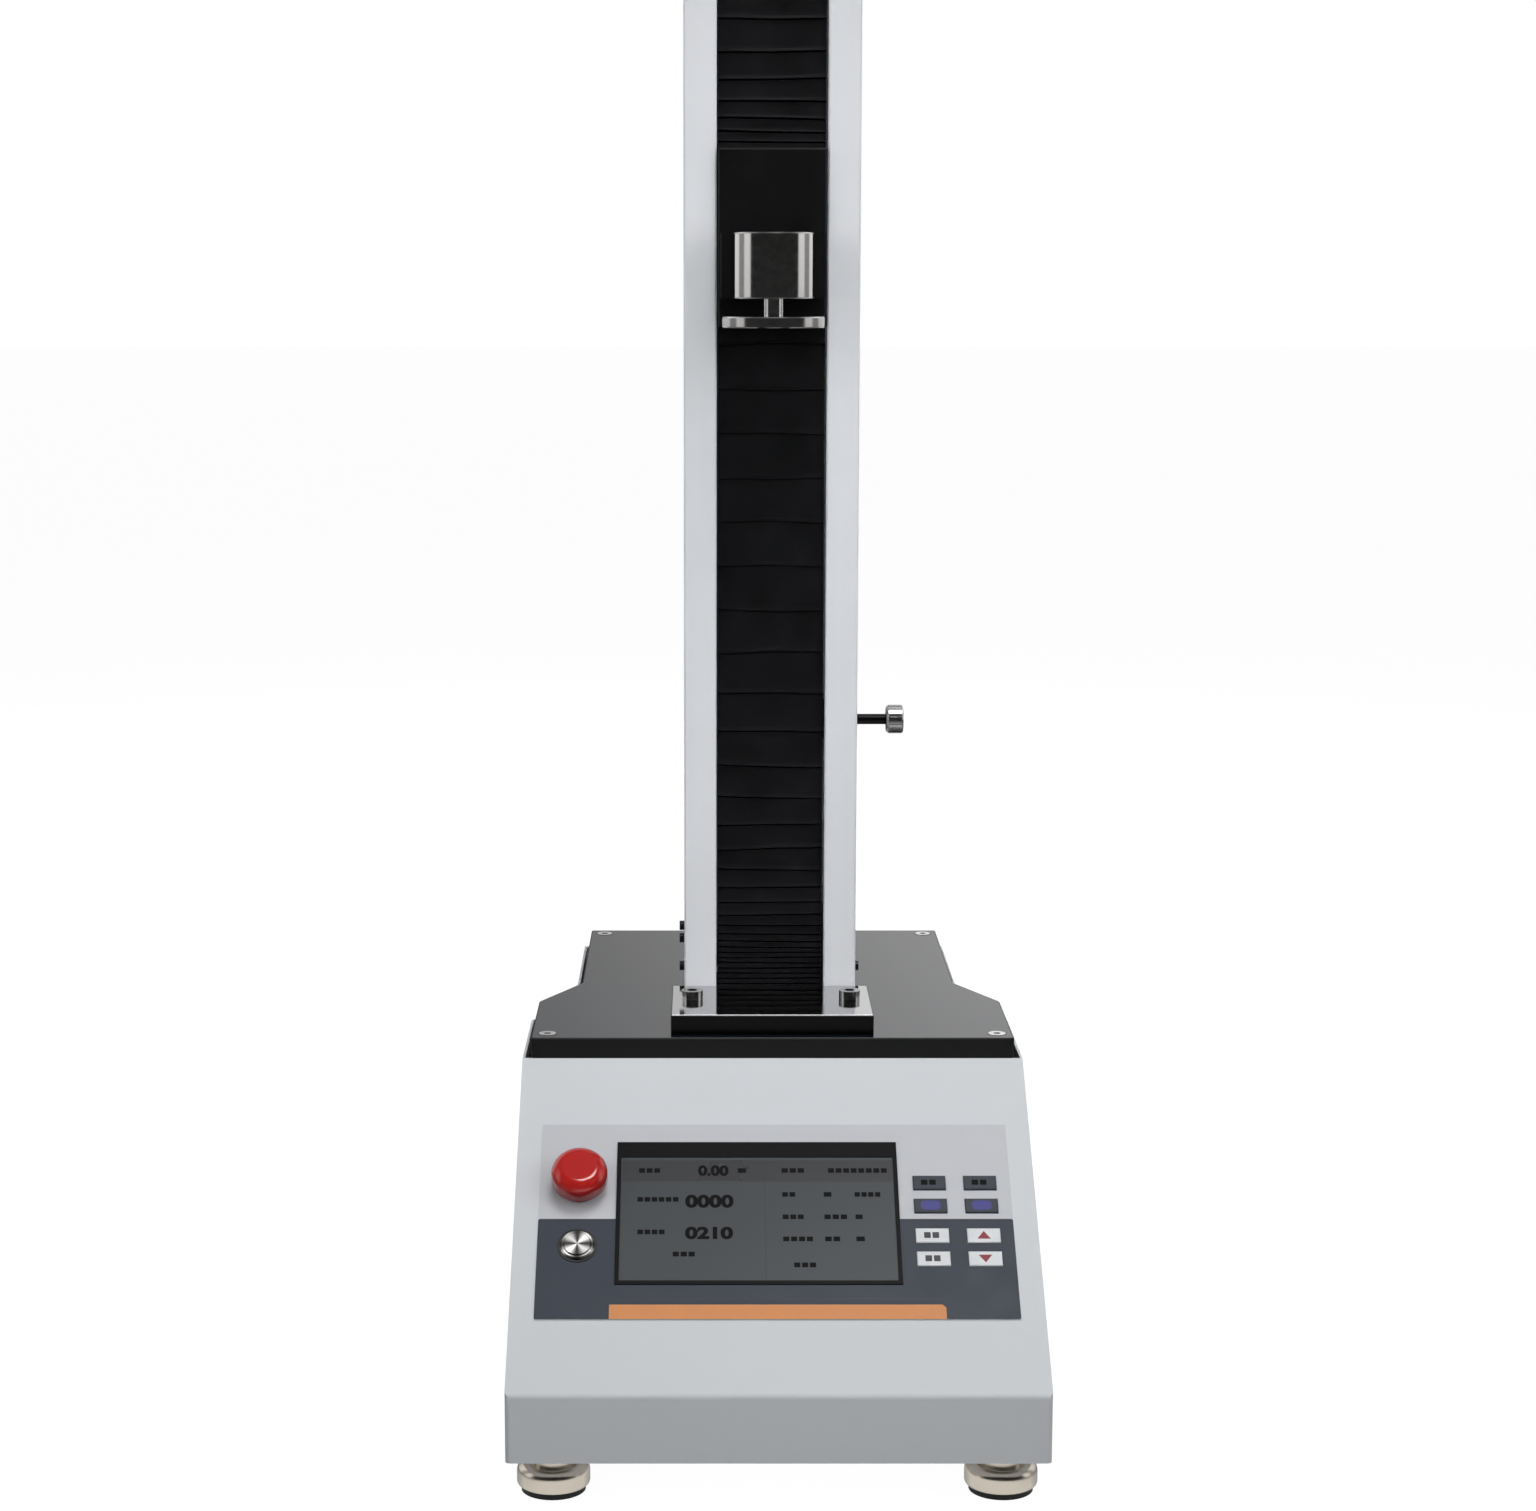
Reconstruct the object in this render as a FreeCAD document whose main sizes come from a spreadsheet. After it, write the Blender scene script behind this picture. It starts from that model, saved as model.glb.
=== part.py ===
import FreeCAD, Part
import math
import os
import re
import Sketcher

# Force test stand: a motorised single column tester on a sloped control console.
# Millimetres, +Z up, the stand faces -Y. The origin is on the floor, under the middle
# of the stand's outline.

doc = FreeCAD.newDocument("ForceTestStand")

# Distance within which two levels count as the same

NEAR = 0.001

# Driving sizes

SIZES = {
    # console housing, seen in plan a wide front, two slanted shoulders and a neck
    "housing_width": 300,
    "housing_depth": 500,
    "neck_width": 250,
    "shoulder_start": 283,
    "shoulder_end": 334,
    "strip_height": 38.5,
    "slope_run": 188,
    "slope_rise": 141,
    "sheet": 1.5,
    "bend_radius": 3,
    "foot_height": 27,
    # gaps between pieces
    "fit_gap": 0.05,
    "loose_gap": 0.3,
    "key_gap": 0.2,
    "hole_gap": 0.4,
    # how far a cutting solid runs past the face it cuts
    "overcut": 1,
    # base plate and corner posts
    "base_thickness": 4,
    "post_diameter": 12,
    "post_thread_depth": 22,
    # table plate
    "table_rim": 5,
    "table_setback": 0.5,
    "table_thickness": 12.5,
    "table_chamfer": 0.8,
    "table_corner": 2,
    "table_screw_side": 9.5,
    "table_screw_front": 11,
    "table_screw_back": 11,
    "table_screw_diameter": 6,
    "table_screw_length": 24,
    "table_screw_head": 10.5,
    "table_screw_head_height": 3.4,
    "table_screw_sink": 3.2,
    "table_screw_hex": 4,
    # anvil block, the lower pressing face, and its two screws
    "block_width": 122,
    "block_height": 12,
    "block_front": 8,
    "block_depth": 77.7,
    "block_chamfer": 0.6,
    "block_screw_side": 12.6,
    "block_screw_front": 45,
    "block_screw_diameter": 8,
    "block_screw_depth": 10,
    "block_screw_head": 13,
    "block_screw_head_height": 5,
    "block_screw_hex": 6,
    # column
    "channel_width": 67,
    "column_wall": 20,
    "column_depth": 90,
    "column_height": 892,
    "column_chamfer": 1,
    "column_back_thickness": 10,
    "column_screw_diameter": 8,
    "column_screw_reach": 25,
    "column_screw_head": 13,
    "column_screw_head_height": 8,
    "column_screw_inset": 15,
    "back_screw_diameter": 5,
    "back_screw_head": 9,
    "back_screw_head_height": 2.8,
    "back_screw_rows": 8,
    "back_screw_end": 40,
    "side_screw_head": 6,
    "side_screw_head_height": 3.2,
    "side_screw_set": 26,
    "side_screw_low": 16,
    "side_screw_high": 42,
    "side_screw_gap": 2,
    "top_plate_thickness": 18,
    "top_overhang": 2,
    "top_round": 3,
    "top_screw_diameter": 6,
    "top_screw_reach": 18,
    "top_screw_head": 10,
    "top_screw_head_height": 4,
    # limit stops in the right wall
    "slot_set": 26,
    "slot_width": 7,
    "slot_end": 60,
    "slot_nut_width": 13,
    "slot_nut_depth": 10,
    "slot_nut_length": 24,
    "limit_rod_start": 2,
    "limit_rod_diameter": 6.5,
    "limit_rod_length": 19.3,
    "limit_knob_diameter": 18,
    "limit_knob_length": 10.6,
    "limit_knob_ribs": 24,
    "limit_knob_rib_depth": 0.6,
    "limit_knob_rib_half": 0.85,
    "limit_knob_shoulder": 1.4,
    "limit_knob_edge": 1,
    "limit_lower_height": 177,
    "limit_upper_height": 782,
    # guides
    "rail_set": 55,
    "rail_width": 15,
    "rail_height": 10,
    "rail_waist": 1.5,
    "rail_waist_low": 3,
    "rail_waist_high": 6,
    "rail_end": 14,
    "guide_block_width": 32,
    "guide_block_stand": 16,
    "guide_block_floor": 4,
    "guide_block_length": 36,
    "guide_block_margin": 8,
    # carriage
    "platen_gap": 409,
    "carriage_height": 106,
    "carriage_gap": 0.8,
    "carriage_proud": 4,
    "carriage_thickness": 10,
    "carriage_chamfer": 0.8,
    "saddle_behind": 26,
    "saddle_end": 14,
    "carriage_screw_diameter": 6,
    "carriage_screw_head": 11,
    "carriage_screw_sink": 3,
    "carriage_screw_reach": 14,
    "carriage_screw_side": 11,
    "carriage_screw_rise": 12,
    # ball screw and nut
    "screw_set": 47,
    "screw_diameter": 12,
    "screw_drop": 62,
    "nut_diameter": 24,
    "nut_length": 40,
    "nut_flange_diameter": 40,
    "nut_flange_flat": 30,
    "nut_flange_thickness": 9,
    "bearing_diameter": 28,
    "bearing_length": 8,
    "bearing_block_size": 58,
    "bearing_block_height": 25,
    "passage": 1.5,
    # load arm, load cell and upper platen
    "arm_width": 62,
    "arm_side": 3.5,
    "load_reach": 43,
    "cell_diameter": 48,
    "cell_height": 38.5,
    "cell_chamfer": 0.8,
    "arm_screw_diameter": 6,
    "arm_screw_head": 9,
    "arm_screw_head_height": 4,
    "arm_screw_reach": 12,
    "arm_screw_side": 25.4,
    "arm_screw_rise": 12,
    "stem_diameter": 11.5,
    "stem_length": 10.5,
    "stem_thread_in": 12,
    "platen_diameter": 60.6,
    "platen_thickness": 6.5,
    "stem_edge": 1,
    "platen_chamfer": 0.7,
    # bellows
    "bellows_gap": 1,
    "bellows_recess": 3,
    "bellows_depth": 12,
    "bellows_fold": 5,
    "bellows_pleats": 22,
    # belt drive
    "belt_centres": 82,
    "pulley_diameter": 36,
    "pulley_width": 13,
    "pulley_flange": 1.5,
    "pulley_flange_rise": 2.4,
    "pulley_drop": 40,
    "belt_thickness": 2,
    "motor_size": 57,
    "motor_corner": 5,
    "motor_length": 78,
    "motor_shaft_diameter": 8,
    "motor_shaft_depth": 26,
    "motor_shaft_spare": 2,
    "motor_boss_diameter": 38,
    "motor_boss_height": 1.6,
    "motor_plate_thickness": 8,
    "motor_plate_drop": 62,
    "motor_plate_margin": 6,
    "motor_post_diameter": 9,
    "motor_post_inset": 5,
    # electronics on the base plate
    "standoff_height": 5,
    "standoff_diameter": 8,
    "standoff_inset": 8,
    "supply_length": 150,
    "supply_width": 78,
    "supply_height": 40,
    "supply_side": 34,
    "supply_gap": 12,
    "supply_slots": 8,
    "supply_slot_width": 4,
    "supply_slot_depth": 1.2,
    "supply_slot_end": 8,
    "driver_length": 118,
    "driver_width": 76,
    "driver_height": 34,
    "driver_fins": 6,
    "driver_fin_depth": 8,
    "board_length": 96,
    "board_width": 124,
    "board_thickness": 1.6,
    "board_front": 92,
    "board_margin": 6,
    "board_part_height": 12,
    "terminal_depth": 10,
    "chip_size": 28,
    "chip_height": 3,
    "chip_place": 30,
    "relay_width": 16,
    "relay_length": 28,
    "relay_side": 26,
    "relay_place": 20,
    "capacitor_diameter": 16,
    "capacitor_height": 16,
    "capacitor_side": 36,
    "capacitor_place": 40,
    # control panel on the slope, measured along it from its foot
    "overlay_width": 272,
    "overlay_low": 49.2,
    "overlay_high": 184.7,
    "overlay_thickness": 0.8,
    "display_width": 162.6,
    "display_height": 99.1,
    "display_left": 91.5,
    "display_low": 72.3,
    "display_proud": 1.6,
    "display_depth": 11,
    "display_border": 2.4,
    "display_head": 10.7,
    "glass_thickness": 1,
    "glass_sink": 0.6,
    "key_left": 89.2,
    "key_pitch": 29.3,
    "key_width": 18.9,
    "key_depth": 9.8,
    "key_height": 1.4,
    "key_travel": 0.5,
    "key_first_row": 142.3,
    "key_second_row": 126.1,
    "key_third_row": 105.3,
    "key_fourth_row": 89.4,
    "key_edge": 0.4,
    # emergency stop
    "stop_side": 112.7,
    "stop_place": 141.1,
    "stop_hole": 22,
    "stop_collar_diameter": 24,
    "stop_collar_height": 1.2,
    "stop_head_diameter": 32.4,
    "stop_head_height": 14.2,
    "stop_head_lift": 3.4,
    "stop_head_skirt": 1.6,
    "stop_head_cup": 4,
    "stop_head_round": 7,
    "stop_stem_diameter": 12,
    "stop_stem_bore": 8,
    "stop_body_length": 24,
    "stop_block_length": 20,
    "stop_block_size": 29,
    "stop_travel": 3.2,
    # power button
    "power_side": 113,
    "power_place": 98.6,
    "power_hole": 19,
    "power_gasket_diameter": 22.6,
    "power_gasket_height": 0.6,
    "power_bezel_diameter": 19.8,
    "power_bezel_height": 2,
    "power_bezel_edge": 0.9,
    "power_cap_diameter": 15.8,
    "power_cap_height": 6,
    "power_cap_lift": 0.6,
    "power_cap_edge": 0.5,
    "power_body_length": 26,
    "power_travel": 2.5,
    # feet
    "foot_inset": 25,
    "foot_front": 32,
    "rear_foot_inset": 27,
    "rear_foot_back": 36,
    "foot_diameter": 41,
    "foot_step_diameter": 26,
    "foot_edge": 1,
    "foot_disc_height": 13,
    "foot_step_height": 4,
    "foot_low_round": 2.4,
    "foot_high_round": 5,
    "pad_diameter": 36,
    "pad_height": 3.2,
    "stud_diameter": 10,
    "stud_spare": 3,
    "bush_diameter": 20,
    "bush_height": 16,
    "collar_height": 6,
    # rear panel
    "flange_proud": 3,
    "rear_line": 60,
    "inlet_side": 62,
    "inlet_width": 34,
    "inlet_height": 62,
    "inlet_body_width": 28,
    "inlet_body_height": 52,
    "inlet_body_depth": 30,
    "socket_rise": 13,
    "socket_width": 24,
    "socket_height": 17,
    "socket_depth": 19,
    "switch_drop": 13,
    "rocker_width": 13,
    "rocker_height": 19,
    "rocker_well": 18,
    "rocker_gap": 0.5,
    "rocker_thickness": 9,
    "rocker_root": 2,
    "rocker_heel": 0.86,
    "rocker_edge": 0.97,
    "rocker_brow": 0.9,
    "rocker_rise": 2.8,
    "rocker_dish": 1.6,
    "rocker_sink": 1.5,
    "rocker_tilt": 9,
    "pin_width": 2,
    "pin_height": 4,
    "pin_length": 14,
    "pin_spread": 7,
    "pin_offset": 2,
}

# Places and lengths worked out from the driving sizes

PLACES = {
    "front": "-(housing_depth + flange_proud) / 2",
    "back": "front + housing_depth",
    "housing_top": "foot_height + strip_height + slope_rise",
    "shell_height": "strip_height + slope_rise",
    "half_width": "housing_width / 2",
    "half_neck": "neck_width / 2",
    "slope_length": "sqrt(slope_run * slope_run + slope_rise * slope_rise)",
    "slope_foot": "foot_height + strip_height",
    "bend_turn": "90 - atan2(slope_rise; slope_run) / 1 deg",
    "bend_reach": "bend_radius * tan(bend_turn / 2)",
    "base_top": "foot_height + base_thickness",
    "table_front": "front + slope_run + table_setback",
    "table_back": "back - table_rim",
    "table_top": "housing_top + table_thickness",
    "block_face": "table_front + block_front",
    "column_front": "block_face + block_depth + loose_gap",
    "column_rear": "column_front + column_depth",
    "column_back_face": "column_rear + column_back_thickness",
    "block_top": "table_top + block_height",
    "column_foot": "table_top",
    "column_top": "column_foot + column_height",
    "half_channel": "channel_width / 2",
    "half_column": "channel_width / 2 + column_wall",
    "wall_middle": "channel_width / 2 + column_wall / 2",
    "load_line": "column_front - load_reach",
    "screw_line": "column_front + screw_set",
    "rail_line": "column_front + rail_set",
    "slot_line": "column_front + slot_set",
    "motor_line": "screw_line + belt_centres",
    "screw_bottom": "housing_top - screw_drop",
    "pulley_bottom": "housing_top - pulley_drop - pulley_width",
    "motor_plate_top": "housing_top - motor_plate_drop",
    "motor_plate_bottom": "motor_plate_top - motor_plate_thickness",
    "motor_half": "motor_size / 2",
    "platen_bottom": "block_top + platen_gap",
    "platen_top": "platen_bottom + platen_thickness",
    "cell_bottom": "platen_top + stem_length",
    "cell_middle": "cell_bottom + cell_height / 2",
    "carriage_bottom": "platen_bottom",
    "carriage_top": "carriage_bottom + carriage_height",
    "carriage_face": "column_front - carriage_proud",
    "carriage_rear": "carriage_face + carriage_thickness",
    "saddle_half": "half_channel - guide_block_stand",
    "saddle_rear": "screw_line + saddle_behind",
    "saddle_bottom": "carriage_bottom + saddle_end",
    "saddle_height": "carriage_height - 2 * saddle_end",
    "bellows_half": "half_channel - bellows_gap",
    "bellows_face": "column_front + bellows_recess",
    "lower_bellows_length": "carriage_bottom - column_foot",
    "upper_bellows_length": "column_top - carriage_top",
    "supply_top": "base_top + standoff_height",
    "supply_line": "rear_foot_line - bush_diameter / 2 - supply_gap - supply_length",
    "stop_body_radius": "stop_hole / 2 - hole_gap",
    "stop_seat": "overlay_thickness + stop_collar_height",
    "stop_stem_top": "stop_seat + stop_head_lift + stop_head_height / 2",
    "power_seat": "overlay_thickness + power_bezel_height",
    "rear_centre": "foot_height + rear_line",
    "foot_top": "pad_height + foot_disc_height + foot_step_height",
    "stud_top": "base_top + bush_height + stud_spare",
    "foot_side": "half_width - foot_inset",
    "rear_foot_side": "half_neck - rear_foot_inset",
    "rear_foot_line": "back - rear_foot_back",
    "front_foot_line": "front + foot_front",
}


def make_sheet(name, cells, formulas):
    """A spreadsheet with one aliased cell to a row."""
    sheet = doc.addObject("Spreadsheet::Sheet", name)
    for row, (alias, content) in enumerate(cells.items(), start=1):
        cell = "B%d" % row
        sheet.set("A%d" % row, alias)
        sheet.set(cell, ("=" + full(content)) if formulas else str(content))
        sheet.setAlias(cell, alias)
    doc.recompute()
    return sheet


def full(text):
    """An expression with each size's name led by its sheet's name."""
    def lead(match):
        word = match.group()
        if word in SIZES:
            return "Sizes." + word
        if word in PLACES:
            return "Places." + word
        return word
    return re.sub(r"[a-z_]+", lead, text)


sizes = make_sheet("Sizes", SIZES, False)
places = make_sheet("Places", PLACES, True)


def value(text):
    """The number that an expression has now."""
    return float(sizes.evalExpression(full(text)))


# Functions that make sketches, features and simple solids

XY, XZ, YZ = "XY_Plane", "XZ_Plane", "YZ_Plane"
parts = []
column_fasteners = []
carriage_fasteners = []
posts = []


def finish_piece(thing, name):
    """Label a finished sub-part and put it on the list to be written."""
    thing.Label = name
    parts.append(thing)
    return thing


def place(thing, x="0", y="0", z="0"):
    """Bind where a piece stands."""
    for axis, text in zip("xyz", (x, y, z)):
        thing.setExpression("Placement.Base." + axis, full(text))
    return thing


def lay_on_slope(thing, x="0", along="0"):
    """Stand a piece on the slope: x across, y up the slope from its foot, z out of it."""
    thing.Placement = FreeCAD.Placement(FreeCAD.Vector(), FreeCAD.Rotation(FreeCAD.Vector(1, 0, 0), 30))
    place(thing, x, "front + (%s) * slope_run / slope_length" % along,
          "slope_foot + (%s) * slope_rise / slope_length" % along)
    thing.setExpression("Placement.Rotation.Angle", full("atan2(slope_rise; slope_run)"))
    return thing


def new_body(name):
    return doc.addObject("PartDesign::Body", name)


def new_sketch(body, plane, name, offset="0"):
    """A sketch on one of the body's own planes, moved out along its normal by offset."""
    origin_plane = [f for f in body.Origin.OriginFeatures if f.Role == plane][0]
    sketch = body.newObject("Sketcher::SketchObject", body.Name + "_" + name)
    sketch.AttachmentSupport = [(origin_plane, "")]
    sketch.MapMode = "FlatFace"
    sketch.setExpression("AttachmentOffset.Base.z", full(offset))
    return sketch


def pin_point(sketch, geometry, point, x, y):
    """Bind a sketch point's place to two expressions."""
    for kind, text in (("DistanceX", x), ("DistanceY", y)):
        index = sketch.addConstraint(Sketcher.Constraint(kind, -1, 1, geometry, point, value(text)))
        sketch.setExpression("Constraints[%d]" % index, full(text))


def add_polygon(sketch, points):
    """A closed outline through points given as pairs of expressions."""
    first = sketch.GeometryCount
    corners = [FreeCAD.Vector(value(x), value(y), 0) for x, y in points]
    count = len(corners)
    for i in range(count):
        sketch.addGeometry(Part.LineSegment(corners[i], corners[(i + 1) % count]), False)
    for i in range(count):
        sketch.addConstraint(Sketcher.Constraint("Coincident", first + i, 2, first + (i + 1) % count, 1))
    for i, (x, y) in enumerate(points):
        pin_point(sketch, first + i, 1, x, y)


def add_rectangle(sketch, left, right, low, high):
    add_polygon(sketch, [(left, low), (right, low), (right, high), (left, high)])


def add_circle(sketch, x, y, diameter):
    centre = FreeCAD.Vector(value(x), value(y), 0)
    radius = value(diameter) / 2
    circle = sketch.addGeometry(Part.Circle(centre, FreeCAD.Vector(0, 0, 1), radius), False)
    pin_point(sketch, circle, 3, x, y)
    index = sketch.addConstraint(Sketcher.Constraint("Diameter", circle, 2 * radius))
    sketch.setExpression("Constraints[%d]" % index, full(diameter))


def pad(body, sketch, length, both=False, back=False):
    """Thicken a sketch: along its normal, to both sides, or back against the normal."""
    feature = body.newObject("PartDesign::Pad", sketch.Name + "_pad")
    feature.Profile = sketch
    feature.setExpression("Length", full(length))
    feature.Midplane = both
    feature.Reversed = back
    doc.recompute()
    return feature


def pocket(body, sketch, length=None, both=False, back=False):
    """Cut a sketch out of the body, to a length or right through."""
    before = body.Shape.Volume
    feature = body.newObject("PartDesign::Pocket", sketch.Name + "_cut")
    feature.Profile = sketch
    feature.Midplane = both
    feature.Reversed = back
    if length is None:
        feature.Type = "ThroughAll"
    else:
        feature.setExpression("Length", full(length))
    doc.recompute()
    if body.Shape.Volume > before - 1e-6:
        raise RuntimeError(sketch.Name + " cuts nothing")
    return feature


def spin(body, sketch, groove=False):
    """Turn a sketch about the body's own Z axis, to add or to cut."""
    kind = "PartDesign::Groove" if groove else "PartDesign::Revolution"
    feature = body.newObject(kind, sketch.Name + "_spin")
    feature.Profile = sketch
    feature.ReferenceAxis = (sketch, ["V_Axis"])
    feature.Angle = 360
    doc.recompute()
    return feature


def edge_names(shape, test):
    return ["Edge%d" % (i + 1) for i, edge in enumerate(shape.Edges) if test(edge)]


def dress(body, kind, size, test):
    """A Fillet or Chamfer on the body's edges that pass a test."""
    base = body.Tip
    names = edge_names(base.Shape, test)
    if not names:
        raise RuntimeError(body.Name + " has no edge for its " + kind)
    feature = body.newObject("PartDesign::" + kind, body.Name + "_" + kind)
    feature.Base = (base, names)
    feature.setExpression("Radius" if kind == "Fillet" else "Size", full(size))
    doc.recompute()
    return feature


def lies_at(edge, axis, height):
    """True if the whole edge lies in the plane where the axis has this value."""
    box = edge.BoundBox
    low, high = {"x": (box.XMin, box.XMax), "y": (box.YMin, box.YMax), "z": (box.ZMin, box.ZMax)}[axis]
    return abs(low - height) < NEAR and abs(high - height) < NEAR


def runs_along(edge, axis):
    """True if the edge is a straight one along x, y or z."""
    if edge.Curve.TypeId != "Part::GeomLine":
        return False
    direction = edge.Curve.Direction
    return abs(abs({"x": direction.x, "y": direction.y, "z": direction.z}[axis]) - 1) < NEAR


def box(name, left, right, front, back, low, high):
    """A block given by its six faces."""
    block = doc.addObject("Part::Box", name)
    block.setExpression("Length", full("(%s) - (%s)" % (right, left)))
    block.setExpression("Width", full("(%s) - (%s)" % (back, front)))
    block.setExpression("Height", full("(%s) - (%s)" % (high, low)))
    return place(block, left, front, low)


def rod(name, diameter, x, y, low, high):
    """An upright round rod."""
    cylinder = doc.addObject("Part::Cylinder", name)
    cylinder.setExpression("Radius", full("(%s) / 2" % diameter))
    cylinder.setExpression("Height", full("(%s) - (%s)" % (high, low)))
    return place(cylinder, x, y, low)


def lying_rod(name, diameter, along, start, end, first, second):
    """A round rod along x or y. first and second are its place on the other two axes."""
    cylinder = doc.addObject("Part::Cylinder", name)
    cylinder.setExpression("Radius", full("(%s) / 2" % diameter))
    cylinder.setExpression("Height", full("(%s) - (%s)" % (end, start)))
    turned = {"x": FreeCAD.Rotation(FreeCAD.Vector(0, 1, 0), 90),
              "y": FreeCAD.Rotation(FreeCAD.Vector(1, 0, 0), -90)}[along]
    cylinder.Placement = FreeCAD.Placement(FreeCAD.Vector(), turned)
    if along == "x":
        return place(cylinder, start, first, second)
    return place(cylinder, first, start, second)


def fuse(name, pieces):
    joined = doc.addObject("Part::MultiFuse", name)
    joined.Shapes = pieces
    return joined


def cut(name, base, tools):
    """A base with one or more tools taken out."""
    tool = tools[0] if len(tools) == 1 else fuse(name + "_tools", tools)
    rest = doc.addObject("Part::Cut", name)
    rest.Base = base
    rest.Tool = tool
    doc.recompute()
    return rest


def group(name, pieces):
    """Identical solids that share one node."""
    together = doc.addObject("Part::Compound", name)
    together.Links = pieces
    return finish_piece(together, name)


SIDES = (("left", "-1"), ("right", "1"))

# Housing shell: folded sheet walls round the stepped outline, and the sloped front


def plan_outline(inset, front_y):
    """The stepped outline in plan, moved in by inset."""
    side = "half_width - (%s)" % inset
    neck = "half_neck - (%s)" % inset
    rear = "back - (%s)" % inset
    start = "front + shoulder_start"
    end = "front + shoulder_end"
    right = [(side, front_y), (side, start), (neck, end), (neck, rear)]
    left = [("-(%s)" % x, y) for x, y in reversed(right)]
    return right + left


def make_housing_shell():
    body = new_body("housing_shell")
    plan = new_sketch(body, XY, "plan", "foot_height")
    add_polygon(plan, plan_outline("0", "front"))
    pad(body, plan, "shell_height")
    outer = value("half_width")
    dress(body, "Fillet", "bend_radius",
          lambda e: runs_along(e, "z") and abs(abs(e.BoundBox.XMin) - outer) < NEAR)
    inside = new_sketch(body, XY, "inside", "foot_height")
    add_polygon(inside, plan_outline("sheet", "front + sheet"))
    pocket(body, inside, None, back=True)
    wedge = new_sketch(body, YZ, "wedge")
    # the strip bends into the slope in two small facets
    bend = [("front", "slope_foot - bend_reach"),
            ("front + bend_radius * (1 - cos(bend_turn / 2))",
             "slope_foot - bend_reach + bend_radius * sin(bend_turn / 2)"),
            ("front + bend_reach * slope_run / slope_length",
             "slope_foot + bend_reach * slope_rise / slope_length")]
    add_polygon(wedge, [("front - overcut", "slope_foot - bend_reach")] + bend +
                [("front + slope_run", "housing_top"), ("front + slope_run", "housing_top + overcut"),
                 ("front - overcut", "housing_top + overcut")])
    pocket(body, wedge, "housing_width + 2 * overcut", both=True)
    # the slope's sheet reaches from the strip's top to the table, square to the slope
    slope = new_sketch(body, YZ, "slope")
    across = "sheet * slope_rise / slope_length"
    down = "sheet * slope_run / slope_length"
    add_polygon(slope, bend + [("front + slope_run", "housing_top"),
                        ("front + slope_run + %s" % across, "housing_top"),
                        ("front + slope_run + %s" % across, "housing_top - %s" % down),
                        ("front + sheet", "slope_foot - %s" % down),
                        ("front + sheet", "slope_foot - bend_reach - sheet"),
                        ("front", "slope_foot - bend_reach - sheet")])
    pad(body, slope, "housing_width - 2 * sheet", both=True)
    return finish_piece(body, "housing_shell")


def slope_sketch(body, name, lift="0"):
    """A sketch on the slope: x across, y up the slope from its foot."""
    sketch = new_sketch(body, XY, name)
    turn = FreeCAD.Rotation(FreeCAD.Vector(1, 0, 0), 30)
    sketch.AttachmentOffset = FreeCAD.Placement(FreeCAD.Vector(), turn)
    sketch.setExpression("AttachmentOffset.Base.y", full("front - (%s) * slope_rise / slope_length" % lift))
    sketch.setExpression("AttachmentOffset.Base.z",
                         full("slope_foot + (%s) * slope_run / slope_length" % lift))
    sketch.setExpression("AttachmentOffset.Rotation.Angle", full("atan2(slope_rise; slope_run)"))
    return sketch


def cut_housing_openings(body):
    """Windows in the slope, and in the back wall for what is plugged in there."""
    panel = slope_sketch(body, "panel")
    add_rectangle(panel, "-display_left + display_border", "display_width - display_left - display_border",
                  "display_low + display_border", "display_low + display_height - display_border")
    add_circle(panel, "-stop_side", "stop_place", "stop_hole")
    add_circle(panel, "-power_side", "power_place", "power_hole")
    pocket(body, panel, "4 * sheet", both=True)
    rear = new_sketch(body, XZ, "rear", "-back")
    half_hole = "(inlet_body_width / 2 + hole_gap)"
    half_rise = "(inlet_body_height / 2 + hole_gap)"
    add_rectangle(rear, "inlet_side - " + half_hole, "inlet_side + " + half_hole,
                  "rear_centre - " + half_rise, "rear_centre + " + half_rise)
    pocket(body, rear, "4 * sheet", both=True)


cut_housing_openings(make_housing_shell())

# Base plate inside the shell's lower edge, its threaded bushes, and the corner posts

FEET = (("front_left", "-foot_side", "front_foot_line"),
        ("front_right", "foot_side", "front_foot_line"),
        ("rear_left", "-rear_foot_side", "rear_foot_line"),
        ("rear_right", "rear_foot_side", "rear_foot_line"))
POSTS = (("-half_width + table_rim + table_screw_side", "table_front + table_screw_front"),
         ("half_width - table_rim - table_screw_side", "table_front + table_screw_front"),
         ("-half_neck + table_rim + table_screw_side", "table_back - table_screw_back"),
         ("half_neck - table_rim - table_screw_side", "table_back - table_screw_back"))


def make_base_plate():
    """The plate and its four welded foot bushes, each with a collar under the plate."""
    body = new_body("base_plate")
    plan = new_sketch(body, XY, "plan", "foot_height")
    add_polygon(plan, plan_outline("sheet + loose_gap", "front + sheet + loose_gap"))
    pad(body, plan, "base_thickness")
    bushes = new_sketch(body, XY, "bushes", "foot_height - collar_height")
    for _, x, y in FEET:
        add_circle(bushes, x, y, "bush_diameter")
    pad(body, bushes, "collar_height + base_thickness + bush_height")
    holes = new_sketch(body, XY, "holes", "foot_height - collar_height")
    for _, x, y in FEET:
        add_circle(holes, x, y, "stud_diameter + 2 * fit_gap")
    pocket(body, holes, None, back=True)
    finish_piece(body, "base_plate")


make_base_plate()

# Levelling feet: each a disc with its stud, and a rubber pad under it


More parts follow.
